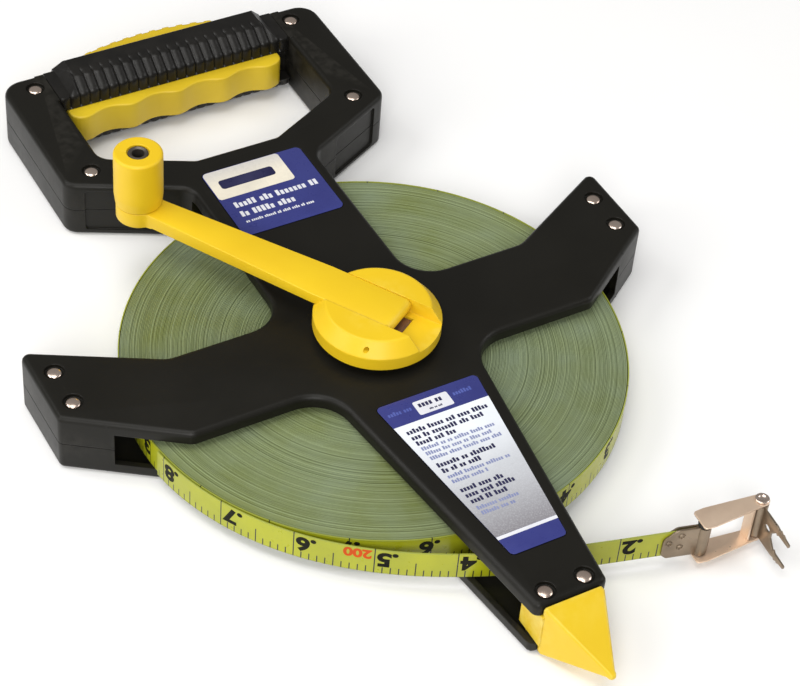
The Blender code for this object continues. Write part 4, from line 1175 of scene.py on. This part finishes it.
def make_lead():
    """Curved span fixed to the frame, and a straight end running into the ferrule."""
    path = smooth_path(leaving_path())
    split = FERRULE - AHEAD * DRAW_START
    path = [point for point in path if (point - split).dot(AHEAD) < -0.3] + [split]
    lengths = [0.0]
    for before, after in zip(path, path[1:]):
        lengths.append(lengths[-1] + (after - before).length)
    end_reading = FERRULE_READING + DRAW_START
    readings = [end_reading + lengths[-1] - length for length in lengths]
    curved = ribbon("tape_lead_curve", path, readings, TAPE_THICKNESS)
    show(curved, "face", "frame", "tape_coating", "tape_lead")

    straight = [FERRULE + AHEAD * s for s in (-DRAW_START, -DRAW_END, 0.0, 13.4)]
    out = ribbon("tape_lead_straight", straight, [0.0] * 5, TAPE_THICKNESS)
    show(out, "face_straight", None, "tape_coating", "tape_lead")
    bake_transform(out)

    def on_lead(reading):
        wanted = readings[0] - reading
        for k in range(len(path) - 1):
            if wanted <= lengths[k + 1] or k == len(path) - 2:
                share = (wanted - lengths[k]) / (lengths[k + 1] - lengths[k])
                heading = (path[k + 1] - path[k]).normalized()
                return path[k].lerp(path[k + 1], share), Vector((heading.y, -heading.x))

    rows = [row for row in scale_rows(2, 9) if row[1] < readings[0] - 2]
    print_numbers("lead_numbers", rows, on_lead, "frame")
    print_numbers("lead_length_mark", [("200", 50 * TICK, True, 1.0, 4.6)], on_lead, "frame",
                  "red_ink")
    print_numbers("roll_numbers", scale_rows(16, 36), on_roll, "reel")


def across_tape(placing):
    return placing @ Matrix.Rotation(math.pi / 2, 4, "X")


def make_ferrule():
    """Folded plate over the tape's end, rolled round the knuckle pin, with three rivets."""
    place = frame_at(*FERRULE, HEADING)
    low, high = span("tape_ferrule", 2)
    cheek, reach = 1.15, FERRULE_LENGTH
    rivets = [(8.3, 16.4), (3.6, 13.1), (8.2, 10.3)]
    outline = rounded([(3.4, low, 1.5), (16, low, 0.3), (16, high, 0.3), (6.4, high, 3.0),
                       (1.2, high - 4.5, 3.0), (1.2, low + 2.2, 1.5)], 6)
    fold = prism("tape_ferrule", [outline], -cheek, cheek, 0.25, place @ FLAT_Y, steps=2)
    add(fold, rods("knuckle", [(reach, 0)], 2.6, low + 0.2, high - 0.2, 40, place))
    slot = TAPE_THICKNESS / 2 + 0.12
    cut(fold, blocks("ferrule_slot", [(-1, 14.0, -slot, slot, 0, 30)], place))
    cut(fold, rods("ferrule_bore", [(reach, 0)], KNUCKLE_BORE, 0, 30, 24, place))
    holes = [place @ Matrix.Translation(Vector((a, 0, z)) * MM) for a, z in rivets]
    for k, hole in enumerate(holes):
        cut(fold, rods(f"ferrule_hole_{k}", [(0, 0)], 1.0, -3, 3, 20, across_tape(hole)))
    show(fold, "ferrule", "tape_end", "hook_steel", "tape_ferrule")

    head = cheek + 0.05
    profile = both_ends([(0, head + 0.05), (0.6, head + 0.05), (0.85, head + 0.5),
                         (1.15, head + 0.45), (1.4, head), (0.65, head)], 0)
    for k, hole in enumerate(holes, 1):
        piece = lathe(f"ferrule_rivet_{k}", profile, 24, across_tape(hole))
        show(piece, "ferrule", "tape_end", "rivet_steel", f"ferrule_rivet_{k}", sharp=50)
    make_knuckle()


def make_knuckle():
    """The pin, which ends under the link's upper plate, and the rubber ring over it."""
    knuckle = frame_at(*KNUCKLE)
    low, high = span("knuckle_pin", 2)
    high -= LINK_SHEET + GAP
    pin = [(0, high), (1.0, high), (1.3, high - 0.3), (1.3, low + 0.3), (1.0, low), (0, low)]
    show(lathe("knuckle_pin", pin, 32, knuckle), "rivet", "tape_end", "hook_steel",
         "knuckle_pin", sharp=50)
    low, high = span("knuckle_spacer", 2)
    ring = rounded([(1.6, low, 0.2), (2.8, low, 0.5), (2.8, high, 0.5), (1.6, high, 0.2)], 4)
    show(lathe("knuckle_spacer", ring, 40, knuckle, ring=True), "black_rubber", "tape_end",
         "black_rubber", "knuckle_spacer")


def link_outline():
    """Top view of the stirrup: wide at the ferrule, round at the far pin."""
    far = 3.0
    arc = []
    for a in range(78, -79, -12):
        angle = math.radians(a)
        arc.append((LINK_REACH + far * math.cos(angle), far * math.sin(angle), 0))
    near = [(1.5, -4.9, 2), (-2.6, -4.6, 1), (-3.3, -3.9, 1), (-3.3, 3.9, 1), (-2.6, 4.6, 1),
            (1.5, 4.9, 2)]
    return rounded(arc + near, 4)


def make_hook():
    reach = CLAW_PIN - KNUCKLE
    place = frame_at(*KNUCKLE, math.atan2(reach.y, reach.x))
    low, high = span("hook_link", 2)
    sheet = LINK_SHEET
    outline = link_outline()
    link = prism("hook_link", [outline], high - sheet, high, 0.2, place, steps=2)
    lower = prism("lower_plate", [outline], low, low + sheet, 0.2, place, steps=2)
    web = (LINK_REACH - 4.6, LINK_REACH - 3.8, -2.4, 2.4, low + sheet / 2, high - sheet / 2)
    add(link, blocks("link_web", [web], place), lower)
    far = place @ Matrix.Translation((LINK_REACH * MM, 0, 0))
    cut(link, rods("link_near_bore", [(0, 0)], KNUCKLE_BORE, 0, high - sheet - 0.1, 24, place))
    cut(link, rods("link_far_bore", [(0, 0)], 2.2, 0, 30, 32, far))
    show(link, "hook", "link", "hook_steel", "hook_link")

    low, high = span("link_pin", 2)
    profile = both_ends([(0, high - 0.3), (1.3, high - 0.3), (1.6, high), (2.5, high),
                         (2.75, high - 0.2), (2.75, high - 0.5), (1.9, high - 0.5)], low + high)
    show(lathe("link_pin", profile, 36, far), "rivet", "link", "hook_steel", "link_pin", sharp=50)
    make_claw()


def make_claw():
    """Rolled tube with a pronged plate: an oval hole, a notch and small teeth."""
    place = frame_at(*CLAW_PIN, math.radians(-95.6))
    low, high = 5.6, 21.9
    middle = sum(span("hook_claw", 2)) / 2
    tube = rounded([(2.2, low, 0.2), (3.0, low, 0.2), (3.0, high, 0.2), (2.2, high, 0.2)], 3)
    claw = lathe("hook_claw", tube, 48, place, ring=True)
    half = [(2.5, 7.8, 0), (5.5, 7.9, 0), (12.6, 8.0, 1), (14.4, 7.5, 0.2), (15.0, 8.1, 0.2),
            (16.4, 7.3, 0.2), (17.0, 7.8, 0.2), (18.4, 7.0, 0.2), (21.4, 6.6, 0.4),
            (21.4, 5.2, 0.4), (14.6, 5.0, 0.3), (13.6, 4.0, 0.2), (13.0, 4.8, 0.2),
            (10.0, 1.2, 0.6)]
    outline = [(w, middle + z, r) for w, z, r in half]
    outline += [(w, middle - z, r) for w, z, r in reversed(half)]
    hole = [Vector((7.2 + 1.9 * math.cos(a), middle + 1.5 + 1.4 * math.sin(a))) for a in
            (math.tau * k / 28 for k in range(28))]
    plate = prism("claw_plate", [rounded(outline, 3), hole], -0.45, 0.45, 0.12, place @ FLAT_Y,
                  steps=1)
    add(claw, plate)
    show(claw, "ferrule", "claw", "hook_steel", "hook_claw")


# Hub and crank

CRANK = frame_at(0, 0, CRANK_ANGLE)


def pin_rod(name, radius, start, end, sides=32):
    """A cylinder on the crank's hinge axis, from start to end across the crank."""
    across = Matrix.Rotation(-math.pi / 2, 4, "X")
    place = Matrix.Translation(Vector((PIN_ALONG, 0, PIN_HEIGHT)) * MM)
    return rods(name, [(0, 0)], radius, start, end, sides, CRANK @ place @ across)


def make_hub():
    low, top = span("crank_hub", 2)
    radius, shoulder = 25.4, 36.55
    profile = rounded([(0, top, 0), (20.75, top, 1.6), (radius, shoulder, 1.0),
                       (radius, low, 0.5), (0, low, 0)], 6)
    hub = lathe("crank_hub", profile, 128, CRANK)
    slot_half, floor = 9.1, 35.8
    cut(hub, blocks("hub_slot", [(-40, 40, -slot_half, slot_half, floor, 60)], CRANK))
    cut(hub, blocks("hub_spring_pocket", [(-12.8, -5.0, -6.0, 3.8, 34.2, floor + 1)], CRANK))
    cut(hub, blocks("hub_socket", [(-3.2, 3.2, -3.2, 3.2, 20, 32.6)]))
    cut(hub, rods("hub_screw_seat", [(0, 0)], 4.2, 33.4, 38))
    cut(hub, rods("hub_screw_bore", [(0, 0)], 1.9, 30, 34, 24))
    cut(hub, pin_rod("hub_pin_bore", 1.0, -17.5, 30))
    show(hub, "yellow", "reel", "crank_yellow", "crank_hub", sharp=28)
    spring = prism("crank_leaf_spring", [rectangle(-12.5, -5.4, -5.6, 3.4, 0.8)], 34.6, 35.1,
                   0.15, CRANK, steps=2)
    show(spring, "spring", "reel", "spring_steel", "crank_leaf_spring")


def arm_outline():
    """Top view of the arm: it tapers from the hub to a round pad under the knob."""
    inner, pad_radius = 8.8, 9.3
    side = [(25.4, 9.1), (102.8, 5.7)]
    pad = [(KNOB_ALONG + pad_radius * math.cos(math.radians(a)),
            pad_radius * math.sin(math.radians(a))) for a in range(140, -1, -10)]
    upper = [(PIN_ALONG - 2.9, inner)] + side + pad
    lower = [(s, -t) for s, t in reversed(upper[:-1])]
    return [Vector(point) for point in lower + upper]


def arm_side():
    """Side view: a barrel about the hinge pin, a level top and a pad under the knob."""
    barrel = 2.9
    points = []
    for a in range(90, 301, 15):
        angle = math.radians(a)
        points.append((PIN_ALONG + barrel * math.cos(angle), PIN_HEIGHT + barrel * math.sin(angle)))
    low = span("crank_arm", 2)[0]
    points += [(-3.0, 37.25), (24.0, 37.25), (101.0, low + 0.6), (102.0, low)]
    end = KNOB_ALONG + 10.3
    return [Vector(point) for point in points + [(end, low), (end, ARM_TOP)]]


def make_crank():
    arm = prism("crank_arm", [arm_outline()], 30, ARM_TOP + 3, 0.0, CRANK)
    combine(arm, "INTERSECT", prism("arm_side_view", [arm_side()], -15, 15, 0.0, CRANK @ FLAT_Y))
    bevelled(arm, 0.3, 3, 40)
    knob = CRANK @ Matrix.Translation((KNOB_ALONG * MM, 0, 0))
    cut(arm, pin_rod("arm_pin_bore", 1.1, -12, 12))
    cut(arm, rods("arm_rivet_bore", [(0, 0)], 3.8, 30, 45, 40, knob))
    cut(arm, rods("arm_rivet_seat", [(0, 0)], 5.4, 30, 36.7, 48, knob))
    show(arm, "yellow", "crank", "crank_yellow", "crank_arm")

    rivet = [(3.1, 66.7), (3.5, 66.9), (4.1, 66.75), (4.25, 66.3), (3.4, 66.3), (3.4, 36.3),
             (5.0, 36.3), (5.0, 35.5), (2.6, 35.3), (2.6, 66.5)]
    show(lathe("knob_rivet", rivet[::-1], 48, knob, ring=True), "dark_steel", "crank",
         "dark_steel", "knob_rivet")
    low, radius = ARM_TOP + 0.4, 10.0
    body = rounded([(4.6, KNOB_TOP, 0.3), (4.6, 66.0, 0), (3.8, 66.0, 0), (3.8, low, 0),
                    (radius - 0.5, low, 0.4), (radius, 47.0, 3), (radius, KNOB_TOP, 1.3)], 6)
    show(lathe("crank_knob", body, 96, knob, ring=True), "yellow", "knob", "crank_yellow",
         "crank_knob")


# Inner CAD nodes kept

def dress_inner_nodes():
    looks = {"white_plastic": ("spool_core", "front_bush", "rear_bush", "spindle_spacer"),
             "steel": ("tape_anchor", "spindle", "hub_screw", "crank_hinge_pin")}
    for look, nodes in looks.items():
        for node in nodes:
            paint(frame["nodes"][node], look)


# Stage, light and camera

def make_floor():
    shape = bmesh.new()
    bmesh.ops.create_grid(shape, x_segments=2, y_segments=2, size=4.0)
    floor = from_bmesh("floor", shape)
    HELPERS.clear()
    floor.location.z = -0.0002
    g = Graph("floor_paper", 0.6)
    base = g.mix(g.between(g.noise(6), 0.3, 0.7), (0.955, 0.955, 0.955), (0.935, 0.935, 0.935))
    floor.data.materials.append(g.finish(Base_Color=base, Normal=g.bump(g.noise(700), 0.02, 0.3)))


def make_light(name, place, target, size, power, colour=(1, 1, 1)):
    data = bpy.data.lights.new(name, "AREA")
    data.shape = "DISK"
    data.size = size
    data.energy = power
    data.color = colour
    obj = in_scene(name, data)
    obj.location = place
    obj.rotation_euler = (Vector(target) - Vector(place)).to_track_quat("-Z", "Y").to_euler()


def make_lights():
    make_light("overhead", (-0.35, -0.05, 1.8), (0, 0, 0), 1.3, 14.0, (1.0, 0.99, 0.97))
    make_light("front_box", (-0.85, -1.45, 1.2), (0, 0, 0), 1.1, 23.0, (1.0, 0.99, 0.975))
    make_light("back_left", (-1.2, 0.9, 1.6), (0, 0.2, 0), 0.9, 9.0)
    make_light("left_box", (-1.7, 0.1, 0.9), (0, 0, 0), 1.0, 11.0, (1.0, 0.985, 0.96))
    make_light("right_fill", (1.4, -0.5, 1.0), (0, 0, 0), 0.9, 6.0)
    world = bpy.data.worlds.new("studio")
    world.use_nodes = True
    background = world.node_tree.nodes["Background"]
    background.inputs["Color"].default_value = (1.0, 0.99, 0.98, 1.0)
    background.inputs["Strength"].default_value = 0.2
    bpy.context.scene.world = world
    bpy.context.scene.view_settings.view_transform = "Standard"


def make_camera():
    pan, tilt, roll = (math.radians(angle) for angle in (0.83, 44.09, 5.33))
    forward = Vector((math.sin(pan) * math.cos(tilt), math.cos(pan) * math.cos(tilt),
                      -math.sin(tilt)))
    right = forward.cross(Vector((0, 0, 1))).normalized()
    up = right.cross(forward)
    right, up = (math.cos(roll) * right + math.sin(roll) * up,
                 math.cos(roll) * up - math.sin(roll) * right)
    turn = Matrix.Rotation(math.radians(-31.75), 3, "Z")
    axes = [turn @ axis for axis in (right, up, -forward)]
    data = bpy.data.cameras.new("photo_camera")
    data.sensor_width = 36.0
    data.lens = 105.9
    camera = in_scene("photo_camera", data)
    place = Matrix.Translation(Vector((-350.4, -566.4, 667.3)) * MM)
    camera.matrix_world = place @ Matrix(axes).transposed().to_4x4()
    bpy.context.scene.camera = camera


MATERIALS = make_materials()
make_frames()
make_rivets()
make_spike()
make_labels()
make_grip()
make_roll()
make_outer_wrap()
make_lead()
make_ferrule()
make_hook()
make_hub()
make_crank()
dress_inner_nodes()
make_floor()
make_lights()
make_camera()
